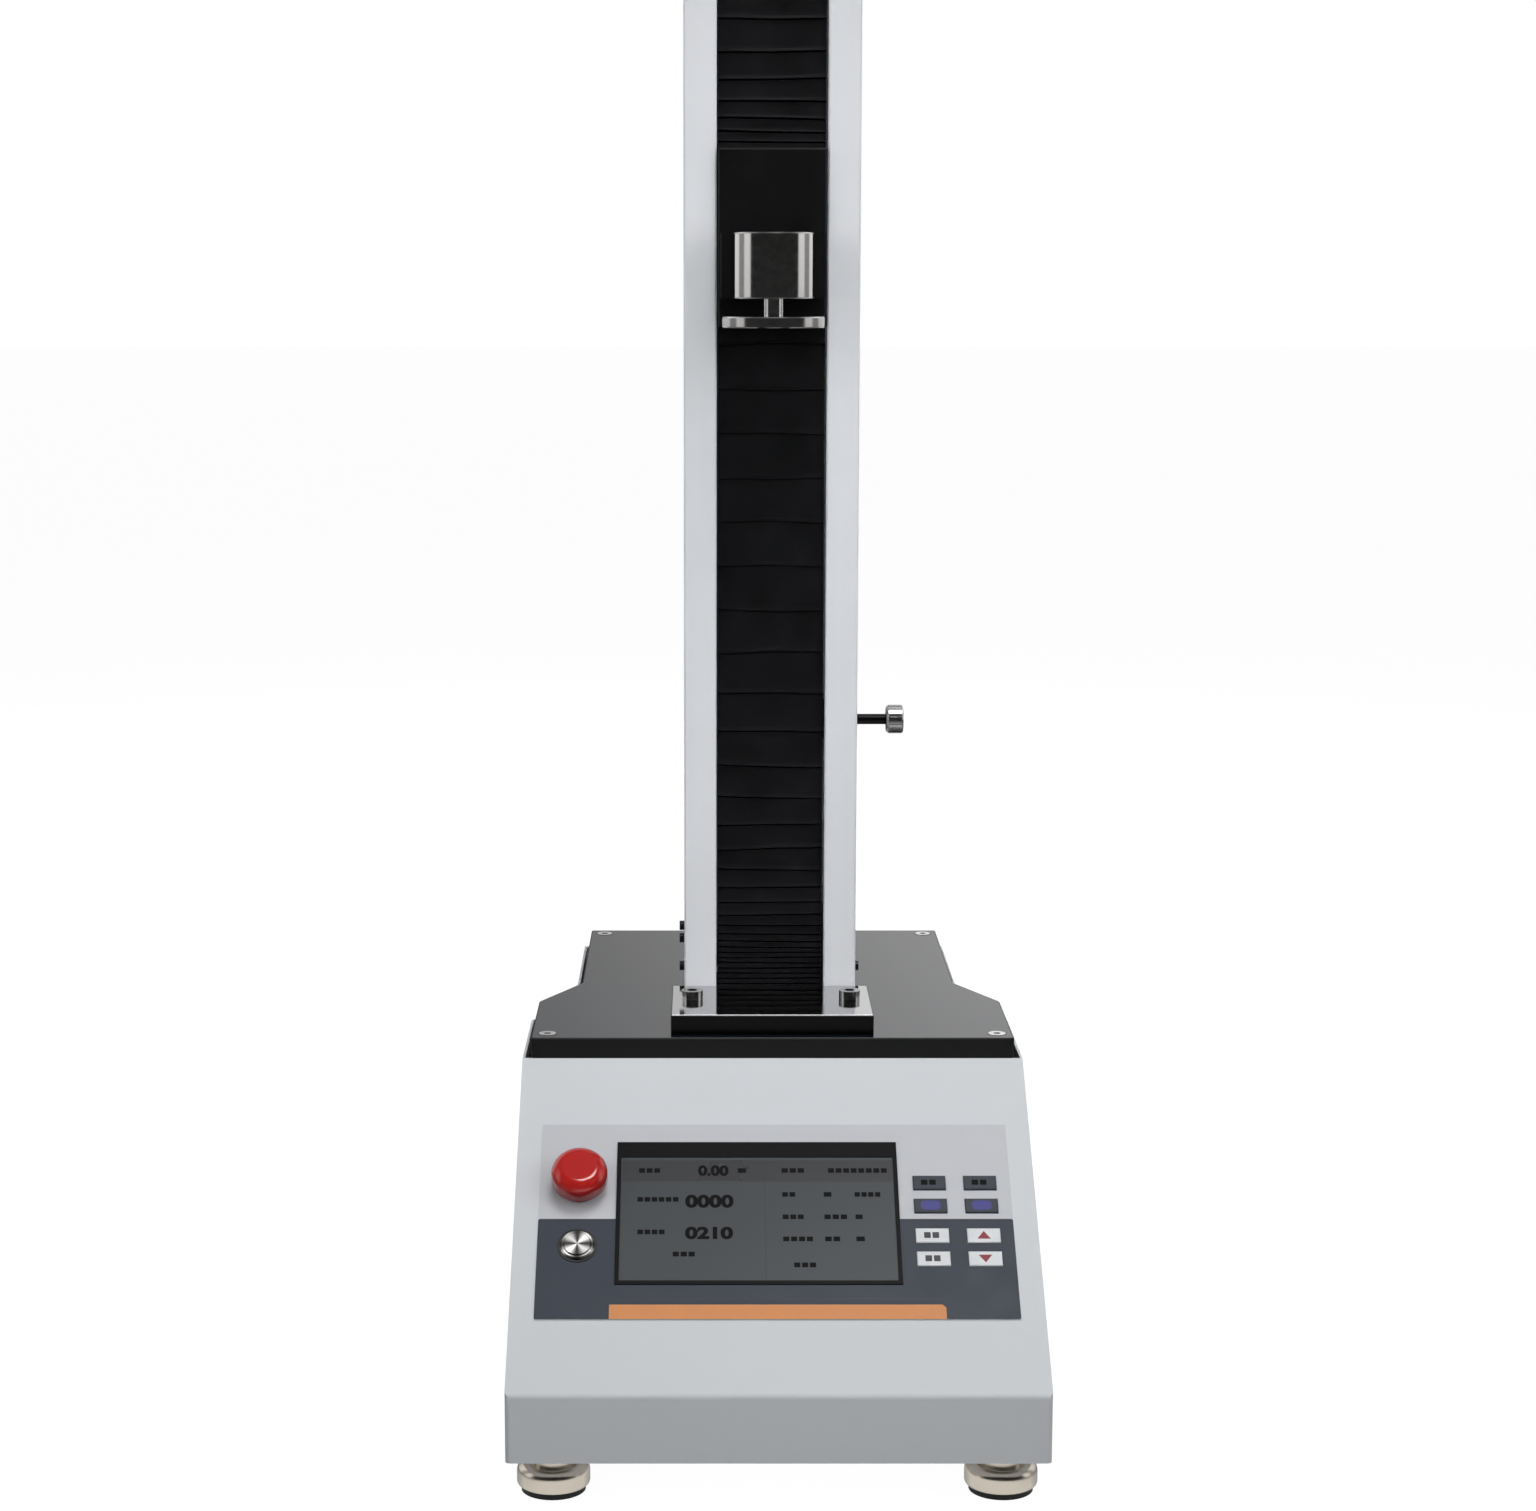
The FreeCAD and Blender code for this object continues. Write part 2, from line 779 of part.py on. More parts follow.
def make_foot(name, x, y):
    disc = new_body("foot_disc_" + name)
    profile = new_sketch(disc, XZ, "profile")
    shoulder = "pad_height + foot_disc_height"
    add_polygon(profile, [("0", "pad_height"), ("foot_diameter / 2", "pad_height"),
                          ("foot_diameter / 2", shoulder), ("foot_step_diameter / 2", shoulder),
                          ("foot_step_diameter / 2", "foot_top - foot_edge"),
                          ("foot_step_diameter / 2 - foot_edge", "foot_top"),
                          ("stud_diameter / 2", "foot_top"), ("stud_diameter / 2", "stud_top - foot_edge"),
                          ("stud_diameter / 2 - foot_edge", "stud_top"), ("0", "stud_top")])
    spin(disc, profile)
    rim = value("foot_diameter / 2")
    for level, radius in (("pad_height", "foot_low_round"), (shoulder, "foot_high_round")):
        height = value(level)
        dress(disc, "Fillet", radius,
              lambda e: lies_at(e, "z", height) and abs(e.BoundBox.XMax - rim) < NEAR)
    place(disc, x, y)
    rubber = rod("foot_rubber_" + name, "pad_diameter", x, y, "0", "pad_height")
    group("foot_" + name, [disc, rubber])


for foot_name, foot_x, foot_y in FEET:
    make_foot(foot_name, foot_x, foot_y)

# Table plate, its corner screws, and the anvil block with its two screws

COLUMN_SCREWS = [(side + " * wall_middle", y) for _, side in SIDES
                 for y in ("column_front + column_screw_inset", "column_rear - column_screw_inset")]
BLOCK_SCREWS = [(side + " * (block_width / 2 - block_screw_side)", "block_face + block_screw_front")
                for _, side in SIDES]


def socket_screw(name, x, y, seat, reach, shank, head, head_height, hexagon, up=True):
    """A socket head screw standing on a seat, or hanging under it, with its hexagon socket."""
    way = "1" if up else "-1"
    low, high = ("(%s) - (%s)" % (seat, reach), seat) if up else (seat, "(%s) + (%s)" % (seat, reach))
    stem = rod(name + "_stem", shank, x, y, low, high)
    head_low, head_high = (seat, "(%s) + (%s)" % (seat, head_height))
    if not up:
        head_low, head_high = ("(%s) - (%s)" % (seat, head_height), seat)
    top = rod(name + "_head", head, x, y, head_low, head_high)
    socket = doc.addObject("Part::Prism", name + "_socket")
    socket.Polygon = 6
    socket.setExpression("Circumradius", full("(%s) / 2 / cos(30)" % hexagon))
    socket.setExpression("Height", full("(%s) / 2 + overcut" % head_height))
    start = "(%s) + %s * (%s) / 2" % (seat, way, head_height)
    place(socket, x, y, start if up else "(%s) - (%s) / 2 - overcut" % (start, head_height))
    return cut(name, fuse(name + "_blank", [stem, top]), [socket])


def make_table():
    body = new_body("table_plate")
    plan = new_sketch(body, XY, "plan", "housing_top")
    add_polygon(plan, plan_outline("table_rim", "table_front"))
    pad(body, plan, "table_thickness")
    top = value("table_top")
    corner = value("half_width - table_rim")
    dress(body, "Fillet", "table_corner",
          lambda e: runs_along(e, "z") and abs(abs(e.BoundBox.XMin) - corner) < NEAR)
    dress(body, "Chamfer", "table_chamfer", lambda e: lies_at(e, "z", top))
    sinks = new_sketch(body, XY, "sinks", "table_top")
    for x, y in POSTS:
        add_circle(sinks, x, y, "table_screw_head + 2 * hole_gap")
    pocket(body, sinks, "table_screw_sink")
    holes = new_sketch(body, XY, "holes", "housing_top")
    for x, y in POSTS:
        add_circle(holes, x, y, "table_screw_diameter + 2 * hole_gap")
    for x, y in COLUMN_SCREWS:
        add_circle(holes, x, y, "column_screw_diameter + 2 * hole_gap")
    for x, y in BLOCK_SCREWS:
        add_circle(holes, x, y, "block_screw_diameter + 2 * fit_gap")
    add_circle(holes, "0", "screw_line", "screw_diameter + 2 * passage")
    pocket(body, holes, None, back=True)
    finish_piece(body, "table_plate")


def make_anvil_block():
    body = new_body("anvil_block")
    plan = new_sketch(body, XY, "plan", "table_top")
    add_rectangle(plan, "-block_width / 2", "block_width / 2", "block_face", "block_face + block_depth")
    pad(body, plan, "block_height")
    top = value("block_top")
    dress(body, "Chamfer", "block_chamfer", lambda e: lies_at(e, "z", top))
    holes = new_sketch(body, XY, "holes", "table_top")
    for x, y in BLOCK_SCREWS:
        add_circle(holes, x, y, "block_screw_diameter + 2 * hole_gap")
    pocket(body, holes, None, back=True)
    finish_piece(body, "anvil_block")


def make_table_fasteners():
    group("table_screws", [
        socket_screw("table_screw_%d" % i, x, y, "table_top - table_screw_sink", "table_screw_length",
                     "table_screw_diameter", "table_screw_head", "table_screw_head_height", "table_screw_hex")
        for i, (x, y) in enumerate(POSTS)])
    group("anvil_screws", [
        socket_screw("anvil_screw_%d" % i, x, y, "block_top", "block_height + block_screw_depth",
                     "block_screw_diameter", "block_screw_head", "block_screw_head_height", "block_screw_hex")
        for i, (x, y) in enumerate(BLOCK_SCREWS)])
    for i, (x, y) in enumerate(COLUMN_SCREWS):
        column_fasteners.append(
            socket_screw("column_foot_screw_%d" % i, x, y, "housing_top",
                         "table_thickness + column_screw_reach", "column_screw_diameter",
                         "column_screw_head", "column_screw_head_height", "block_screw_hex", up=False))


make_table()
make_anvil_block()
make_table_fasteners()

# Column: two side walls, the back plate, and what screws them together

LIMITS = (("lower", "limit_lower_height"), ("upper", "limit_upper_height"))


def make_column_wall(name, side):
    body = new_body("column_wall_" + name)
    plan = new_sketch(body, XY, "plan", "column_foot")
    inner, outer = ("half_channel", "half_column") if side == "1" else ("-half_column", "-half_channel")
    add_rectangle(plan, inner, outer, "column_front", "column_rear")
    pad(body, plan, "column_height")
    faces = [value(text) for text in ("half_channel", "half_column")]
    dress(body, "Chamfer", "column_chamfer",
          lambda e: runs_along(e, "z") and any(abs(abs(e.BoundBox.XMin) - face) < NEAR for face in faces))
    holes = new_sketch(body, XY, "foot_holes", "column_foot")
    for x, y in COLUMN_SCREWS:
        if x.startswith(side + " "):
            add_circle(holes, x, y, "column_screw_diameter + 2 * fit_gap")
    pocket(body, holes, "column_screw_reach + loose_gap", back=True)
    tops = new_sketch(body, XY, "top_holes", "column_top")
    for y in ("column_front + column_screw_inset", "column_rear - column_screw_inset"):
        add_circle(tops, side + " * wall_middle", y, "top_screw_diameter + 2 * fit_gap")
    pocket(body, tops, "top_screw_reach + loose_gap")
    if side == "1":
        for cut_name, start, end, width in (("slot", "0", "half_column + overcut", "slot_width"),
                                            ("nut_track", "0", "half_channel + slot_nut_depth + loose_gap",
                                             "slot_nut_width + 2 * loose_gap")):
            slot = new_sketch(body, YZ, cut_name, start)
            add_rectangle(slot, "slot_line - (%s) / 2" % width, "slot_line + (%s) / 2" % width,
                          "column_foot + slot_end", "column_top - slot_end")
            pocket(body, slot, end, back=True)
    finish_piece(body, "column_wall_" + name)


def back_screw_places():
    """Two upright rows of screws, evenly spaced between the ends of the back plate."""
    rows = int(SIZES["back_screw_rows"])
    for _, side in SIDES:
        for i in range(rows):
            share = "(column_height - 2 * back_screw_end) * %d / (back_screw_rows - 1)" % i
            yield side + " * wall_middle", "column_foot + back_screw_end + %s" % share


def make_column_back():
    body = new_body("column_back")
    plan = new_sketch(body, XY, "plan", "column_foot")
    add_rectangle(plan, "-half_column", "half_column", "column_rear", "column_back_face")
    pad(body, plan, "column_height")
    holes = new_sketch(body, XZ, "holes", "-column_back_face")
    for x, z in back_screw_places():
        add_circle(holes, x, z, "back_screw_diameter + 2 * fit_gap")
    pocket(body, holes, "column_back_thickness", back=True)
    finish_piece(body, "column_back")
    for i, (x, z) in enumerate(back_screw_places()):
        name = "back_screw_%d" % i
        head = lying_rod(name + "_head", "back_screw_head", "y", "column_back_face",
                         "column_back_face + back_screw_head_height", x, z)
        shank = lying_rod(name + "_shank", "back_screw_diameter", "y", "column_rear",
                          "column_back_face", x, z)
        column_fasteners.append(fuse(name, [head, shank]))


def make_side_screws():
    """Small black screws at the foot of the column's outer faces."""
    marks = (("-1", "side_screw_high"), ("-1", "side_screw_high - side_screw_head - side_screw_gap"),
             ("-1", "side_screw_low"), ("1", "side_screw_low"))
    for i, (side, rise) in enumerate(marks):
        out = ("half_column", "half_column + side_screw_head_height")
        if side == "-1":
            out = ("-half_column - side_screw_head_height", "-half_column")
        column_fasteners.append(
            lying_rod("side_screw_%d" % i, "side_screw_head", "x", out[0], out[1],
                      "column_front + side_screw_set", "column_foot + %s + side_screw_head / 2" % rise))


def make_top():
    """The end plate, with a blind seat under it for the screw's upper bearing."""
    plate = new_body("top_plate")
    plan = new_sketch(plate, XY, "plan", "column_top")
    add_rectangle(plan, "-half_column - top_overhang", "half_column + top_overhang",
                  "column_front - top_overhang", "column_back_face + top_overhang")
    pad(plate, plan, "top_plate_thickness")
    side = value("half_column + top_overhang")
    dress(plate, "Fillet", "top_round",
          lambda e: runs_along(e, "z") and abs(abs(e.BoundBox.XMin) - side) < NEAR)
    top = value("column_top + top_plate_thickness")
    dress(plate, "Chamfer", "column_chamfer", lambda e: lies_at(e, "z", top))
    seat = new_sketch(plate, XY, "seat", "column_top")
    add_circle(seat, "0", "screw_line", "bearing_diameter + 2 * fit_gap")
    pocket(plate, seat, "bearing_length + loose_gap", back=True)
    holes = new_sketch(plate, XY, "holes", "column_top")
    top_screws = [(side_sign + " * wall_middle", y) for _, side_sign in SIDES
                  for y in ("column_front + column_screw_inset", "column_rear - column_screw_inset")]
    for x, y in top_screws:
        add_circle(holes, x, y, "top_screw_diameter + 2 * hole_gap")
    pocket(plate, holes, None, back=True)
    finish_piece(plate, "top_plate")
    for i, (x, y) in enumerate(top_screws):
        column_fasteners.append(
            socket_screw("top_screw_%d" % i, x, y, "column_top + top_plate_thickness",
                         "top_plate_thickness + top_screw_reach", "top_screw_diameter", "top_screw_head",
                         "top_screw_head_height", "table_screw_hex"))


for wall_name, wall_side in SIDES:
    make_column_wall(wall_name, wall_side)
make_column_back()
make_side_screws()
make_top()
group("column_screws", column_fasteners)

# Limit stops: a nut in the right wall's track, and a knurled thumbscrew through the slot


def make_limit_stop(name, height):
    level = "column_foot + " + height
    block = box("limit_nut_%s_blank" % name, "half_channel", "half_channel + slot_nut_depth",
                "slot_line - slot_nut_width / 2", "slot_line + slot_nut_width / 2",
                "%s - slot_nut_length / 2" % level, "%s + slot_nut_length / 2" % level)
    thread = lying_rod("limit_nut_%s_thread" % name, "limit_rod_diameter + 2 * fit_gap", "x",
                       "half_channel - overcut", "half_channel + slot_nut_depth + overcut",
                       "slot_line", level)
    finish_piece(cut("limit_nut_" + name, block, [thread]), "limit_nut_" + name)
    rod_end = "half_column + limit_rod_length"
    shaft = lying_rod("limit_rod_" + name, "limit_rod_diameter", "x", "half_channel + limit_rod_start",
                      rod_end + " + overcut", "slot_line", level)
    knob = new_body("limit_knob_" + name)
    profile = new_sketch(knob, XZ, "profile")
    edge = "limit_knob_diameter / 2"
    add_polygon(profile, [("0", "0"), (edge + " - limit_knob_shoulder", "0"), (edge, "limit_knob_shoulder"),
                          (edge, "limit_knob_length - limit_knob_edge"),
                          (edge + " - limit_knob_edge", "limit_knob_length"), ("0", "limit_knob_length")])
    spin(knob, profile)
    groove = new_sketch(knob, XY, "rib")
    add_polygon(groove, [(edge + " - limit_knob_rib_depth", "0"),
                         (edge + " + overcut", "-limit_knob_rib_half"),
                         (edge + " + overcut", "limit_knob_rib_half")])
    first = pocket(knob, groove, None, back=True)
    ribs = knob.newObject("PartDesign::PolarPattern", knob.Name + "_ribs")
    ribs.Originals = [first]
    ribs.Axis = (groove, ["N_Axis"])
    ribs.Angle = 360
    ribs.setExpression("Occurrences", full("limit_knob_ribs"))
    knob.Tip = ribs
    knob.Placement = FreeCAD.Placement(FreeCAD.Vector(), FreeCAD.Rotation(FreeCAD.Vector(0, 1, 0), 90))
    place(knob, rod_end, "slot_line", level)
    finish_piece(fuse("limit_screw_" + name, [shaft, knob]), "limit_screw_" + name)


for stop_name, stop_height in LIMITS:
    make_limit_stop(stop_name, stop_height)

# Guides: a waisted rail on each wall's inner face and two running blocks on it


def make_rail(name, side):
    body = new_body("guide_rail_" + name)
    plan = new_sketch(body, XY, "plan", "column_foot + rail_end")
    face = side + " * half_channel"
    nose = side + " * (half_channel - rail_height)"
    waist_near = side + " * (half_channel - rail_waist_low)"
    waist_far = side + " * (half_channel - rail_waist_high)"
    half = "rail_width / 2"
    slim = "rail_width / 2 - rail_waist"
    front = [(face, half), (waist_near, half), (waist_near, slim), (waist_far, slim), (waist_far, half),
             (nose, half)]
    outline = [(x, "rail_line - (%s)" % y) for x, y in front]
    outline += [(x, "rail_line + (%s)" % y) for x, y in reversed(front)]
    add_polygon(plan, outline)
    pad(body, plan, "column_height - 2 * rail_end")
    half_block = "guide_block_width / 2"
    blocks = []
    for end, low in (("low", "saddle_bottom + guide_block_margin"),
                     ("high", "saddle_bottom + saddle_height - guide_block_margin - guide_block_length")):
        block_name = "guide_block_%s_%s" % (name, end)
        near, far = "half_channel - guide_block_stand", "half_channel - guide_block_floor"
        groove_near, groove_far = "half_channel - rail_height - loose_gap", "half_channel"
        if side == "-1":
            near, far = "-(%s)" % far, "-(%s)" % near
            groove_near, groove_far = "-(%s)" % groove_far, "-(%s)" % groove_near
        blank = box(block_name + "_blank", near, far, "rail_line - " + half_block,
                    "rail_line + " + half_block, low, low + " + guide_block_length")
        half_groove = "(rail_width / 2 + loose_gap)"
        groove = box(block_name + "_groove", groove_near, groove_far, "rail_line - " + half_groove,
                     "rail_line + " + half_groove, low + " - overcut",
                     low + " + guide_block_length + overcut")
        blocks.append(cut(block_name, blank, [groove]))
    return body, blocks


def make_guides():
    rails, blocks = [], []
    for name, side in SIDES:
        rail, pair = make_rail(name, side)
        rails.append(rail)
        blocks += pair
    group("guide_rails", rails)
    group("guide_blocks", blocks)


make_guides()

# Carriage: plate, saddle, ball nut, load arm, load cell, stem and upper platen

CARRIAGE_SCREWS = [(side + " * carriage_screw_side", rise + " * carriage_screw_rise")
                   for _, side in SIDES for _, rise in SIDES]
ARM_SCREWS = [(side + " * arm_screw_side", rise + " * arm_screw_rise")
              for _, side in SIDES for _, rise in SIDES]


def make_carriage():
    plate = new_body("carriage_plate")
    outline = new_sketch(plate, XZ, "outline", "-carriage_face")
    add_rectangle(outline, "-half_channel + carriage_gap", "half_channel - carriage_gap",
                  "carriage_bottom", "carriage_top")
    pad(plate, outline, "carriage_thickness", back=True)
    face = value("carriage_face")
    dress(plate, "Chamfer", "carriage_chamfer", lambda e: lies_at(e, "y", face))
    holes = new_sketch(plate, XZ, "holes", "-carriage_rear")
    for x, rise in CARRIAGE_SCREWS:
        add_circle(holes, x, "cell_middle + " + rise, "carriage_screw_diameter + 2 * hole_gap")
    for x, rise in ARM_SCREWS:
        add_circle(holes, x, "cell_middle + " + rise, "arm_screw_diameter + 2 * hole_gap")
    pocket(plate, holes, "carriage_thickness + overcut", back=True)
    sinks = new_sketch(plate, XZ, "sinks", "-carriage_face")
    for x, rise in CARRIAGE_SCREWS:
        add_circle(sinks, x, "cell_middle + " + rise, "carriage_screw_head + 2 * hole_gap")
    pocket(plate, sinks, "carriage_screw_sink + loose_gap")
    finish_piece(plate, "carriage_plate")
    for i, (x, rise) in enumerate(CARRIAGE_SCREWS):
        level = "cell_middle + " + rise
        name = "carriage_screw_%d" % i
        head = lying_rod(name + "_head", "carriage_screw_head", "y", "carriage_face + loose_gap",
                         "carriage_face + loose_gap + carriage_screw_sink", x, level)
        shank = lying_rod(name + "_shank", "carriage_screw_diameter", "y",
                          "carriage_face + loose_gap + carriage_screw_sink",
                          "carriage_rear + carriage_screw_reach", x, level)
        carriage_fasteners.append(fuse(name, [head, shank]))


def make_saddle():
    body = new_body("carriage_saddle")
    plan = new_sketch(body, XY, "plan", "saddle_bottom")
    add_rectangle(plan, "-saddle_half", "saddle_half", "carriage_rear", "saddle_rear")
    pad(body, plan, "saddle_height")
    bore = new_sketch(body, XY, "bore", "saddle_bottom")
    add_circle(bore, "0", "screw_line", "nut_diameter + 2 * fit_gap")
    pocket(body, bore, None, back=True)
    threads = new_sketch(body, XZ, "threads", "-carriage_rear")
    for x, rise in CARRIAGE_SCREWS:
        add_circle(threads, x, "cell_middle + " + rise, "carriage_screw_diameter + 2 * fit_gap")
    pocket(body, threads, "carriage_screw_reach + loose_gap")
    finish_piece(body, "carriage_saddle")
    shell = rod("nut_barrel", "nut_diameter", "0", "screw_line", "saddle_bottom",
                "saddle_bottom + nut_length")
    flange = rod("nut_disc", "nut_flange_diameter", "0", "screw_line",
                 "saddle_bottom - nut_flange_thickness", "saddle_bottom")
    flats = box("nut_flats_box", "-nut_flange_flat / 2", "nut_flange_flat / 2",
                "screw_line - nut_flange_diameter", "screw_line + nut_flange_diameter",
                "saddle_bottom - nut_flange_thickness - overcut", "saddle_bottom + nut_length + overcut")
    trimmed = doc.addObject("Part::Common", "nut_trimmed")
    trimmed.Base = fuse("nut_blank", [shell, flange])
    trimmed.Tool = flats
    bore = rod("nut_bore", "screw_diameter + 2 * fit_gap", "0", "screw_line",
               "saddle_bottom - nut_flange_thickness - overcut", "saddle_bottom + nut_length + overcut")
    finish_piece(cut("ball_nut", trimmed, [bore]), "ball_nut")


def make_load_train():
    arm = new_body("load_arm")
    plan = new_sketch(arm, XY, "plan", "cell_bottom")
    add_rectangle(plan, "-arm_width / 2", "arm_width / 2", "load_line + arm_side", "carriage_face")
    pad(arm, plan, "cell_height")
    seat = new_sketch(arm, XY, "seat", "cell_bottom")
    add_circle(seat, "0", "load_line", "cell_diameter + 2 * fit_gap")
    pocket(arm, seat, None, back=True)
    threads = new_sketch(arm, XZ, "threads", "-carriage_face")
    for x, rise in ARM_SCREWS:
        add_circle(threads, x, "cell_middle + " + rise, "arm_screw_diameter + 2 * fit_gap")
    pocket(arm, threads, "arm_screw_reach + loose_gap", back=True)
    finish_piece(arm, "load_arm")
    for i, (x, rise) in enumerate(ARM_SCREWS):
        level = "cell_middle + " + rise
        name = "arm_screw_%d" % i
        head = lying_rod(name + "_head", "arm_screw_head", "y", "carriage_rear",
                         "carriage_rear + arm_screw_head_height", x, level)
        shank = lying_rod(name + "_shank", "arm_screw_diameter", "y", "carriage_face - arm_screw_reach",
                          "carriage_rear", x, level)
        carriage_fasteners.append(fuse(name, [head, shank]))
    group("carriage_screws", carriage_fasteners)
    cell = new_body("load_cell")
    profile = new_sketch(cell, XZ, "profile")
    edge = "cell_diameter / 2"
    bore = "stem_diameter / 2 + fit_gap"
    add_polygon(profile, [(bore, "0"), (edge + " - cell_chamfer", "0"), (edge, "cell_chamfer"),
                          (edge, "cell_height - cell_chamfer"), (edge + " - cell_chamfer", "cell_height"),
                          ("0", "cell_height"), ("0", "stem_thread_in + loose_gap"),
                          (bore, "stem_thread_in + loose_gap")])
    spin(cell, profile)
    finish_piece(place(cell, "0", "load_line", "cell_bottom"), "load_cell")
    platen = new_body("upper_platen")
    outline = new_sketch(platen, XZ, "profile")
    rim, stem, top = "platen_diameter / 2", "stem_diameter / 2", "platen_thickness"
    reach = "platen_thickness + stem_length + stem_thread_in"
    add_polygon(outline, [("0", "0"), (rim + " - platen_chamfer", "0"), (rim, "platen_chamfer"),
                          (rim, top + " - platen_chamfer"), (rim + " - platen_chamfer", top), (stem, top),
                          (stem, reach + " - stem_edge"), (stem + " - stem_edge", reach), ("0", reach)])
    spin(platen, outline)
    finish_piece(place(platen, "0", "load_line", "platen_bottom"), "upper_platen")


make_carriage()
make_saddle()
make_load_train()

# Bellows: folded strips in the channel, below and above the carriage


def make_bellows(name, low, length):
    body = new_body("bellows_" + name)
    plan = new_sketch(body, XY, "plan")
    add_rectangle(plan, "-bellows_half", "bellows_half", "bellows_face", "bellows_face + bellows_depth")
    pad(body, plan, length)
    pleat = "(%s) / bellows_pleats" % length
    fold = new_sketch(body, YZ, "fold")
    add_polygon(fold, [("bellows_face - overcut", "-%s / 2 * (1 + 1 / bellows_fold)" % pleat),
                       ("bellows_face - overcut", "%s / 2 * (1 + 1 / bellows_fold)" % pleat),
                       ("bellows_face + bellows_fold", "0")])
    first = pocket(body, fold, "channel_width", both=True)
    folds = body.newObject("PartDesign::LinearPattern", body.Name + "_folds")
    folds.Originals = [first]
    folds.Direction = (fold, ["V_Axis"])
    folds.setExpression("Length", full(length))
    folds.setExpression("Occurrences", full("bellows_pleats + 1"))
    body.Tip = folds
    finish_piece(place(body, z=low), "bellows_" + name)


make_bellows("lower", "column_foot", "lower_bellows_length")
make_bellows("upper", "carriage_top", "upper_bellows_length")

# Ball screw with its bearings, and the belt drive from the motor


def ring(name, outer, inner, x, y, low, high):
    blank = rod(name + "_blank", outer, x, y, low, high)
    bore = rod(name + "_bore", inner, x, y, "(%s) - overcut" % low, "(%s) + overcut" % high)
    return cut(name, blank, [bore])


def pulley_rims(name, y):
    """A pulley's toothed drum and its two lips."""
    low, high = "pulley_bottom", "pulley_bottom + pulley_width"
    lip = "pulley_diameter + 2 * pulley_flange_rise"
    return [rod(name + "_rim", "pulley_diameter", "0", y, low, high),
            rod(name + "_low_lip", lip, "0", y, low, low + " + pulley_flange"),
            rod(name + "_high_lip", lip, "0", y, high + " - pulley_flange", high)]


def belt_loop(name, radius, low, high):
    """A flat loop round both pulleys, filled."""
    ends = [rod(name + "_screw_end", "2 * (%s)" % radius, "0", "screw_line", low, high),
            rod(name + "_motor_end", "2 * (%s)" % radius, "0", "motor_line", low, high)]
    middle = box(name + "_middle", "-(%s)" % radius, radius, "screw_line", "motor_line", low, high)
    return fuse(name, ends + [middle])


def make_drive():
    finish_piece(rod("ball_screw", "screw_diameter", "0", "screw_line", "screw_bottom",
                     "column_top + bearing_length"), "ball_screw")
    block = box("bearing_block_blank", "-bearing_block_size / 2", "bearing_block_size / 2",
                "screw_line - bearing_block_size / 2", "screw_line + bearing_block_size / 2",
                "housing_top - bearing_block_height", "housing_top")
    seat = rod("bearing_block_seat", "bearing_diameter + 2 * fit_gap", "0", "screw_line",
               "housing_top - bearing_block_height - overcut", "housing_top + overcut")
    finish_piece(cut("bearing_block", block, [seat]), "bearing_block")
    group("screw_bearings", [
        ring("lower_bearing", "bearing_diameter", "screw_diameter + 2 * fit_gap", "0", "screw_line",
             "housing_top - bearing_block_height", "housing_top - bearing_block_height + bearing_length"),
        ring("middle_bearing", "bearing_diameter", "screw_diameter + 2 * fit_gap", "0", "screw_line",
             "housing_top - bearing_length", "housing_top"),
        ring("upper_bearing", "bearing_diameter", "screw_diameter + 2 * fit_gap", "0", "screw_line",
             "column_top", "column_top + bearing_length")])
    bore = rod("screw_pulley_bore", "screw_diameter + 2 * fit_gap", "0", "screw_line",
               "pulley_bottom - overcut", "pulley_bottom + pulley_width + overcut")
    blank = fuse("screw_pulley_blank", pulley_rims("screw_pulley", "screw_line"))
    finish_piece(cut("screw_pulley", blank, [bore]), "screw_pulley")
    shaft = rod("motor_shaft", "motor_shaft_diameter", "0", "motor_line",
                "motor_plate_bottom - motor_shaft_depth",
                "pulley_bottom + pulley_width + motor_shaft_spare")
    finish_piece(fuse("motor_pulley", pulley_rims("motor_pulley", "motor_line") + [shaft]), "motor_pulley")
    low = "pulley_bottom + pulley_flange + loose_gap"
    high = "pulley_bottom + pulley_width - pulley_flange - loose_gap"
    inner = "pulley_diameter / 2 + loose_gap"
    outside = belt_loop("belt_outside", inner + " + belt_thickness", low, high)
    inside = belt_loop("belt_inside", inner, low + " - overcut", high + " + overcut")
    finish_piece(cut("timing_belt", outside, [inside]), "timing_belt")


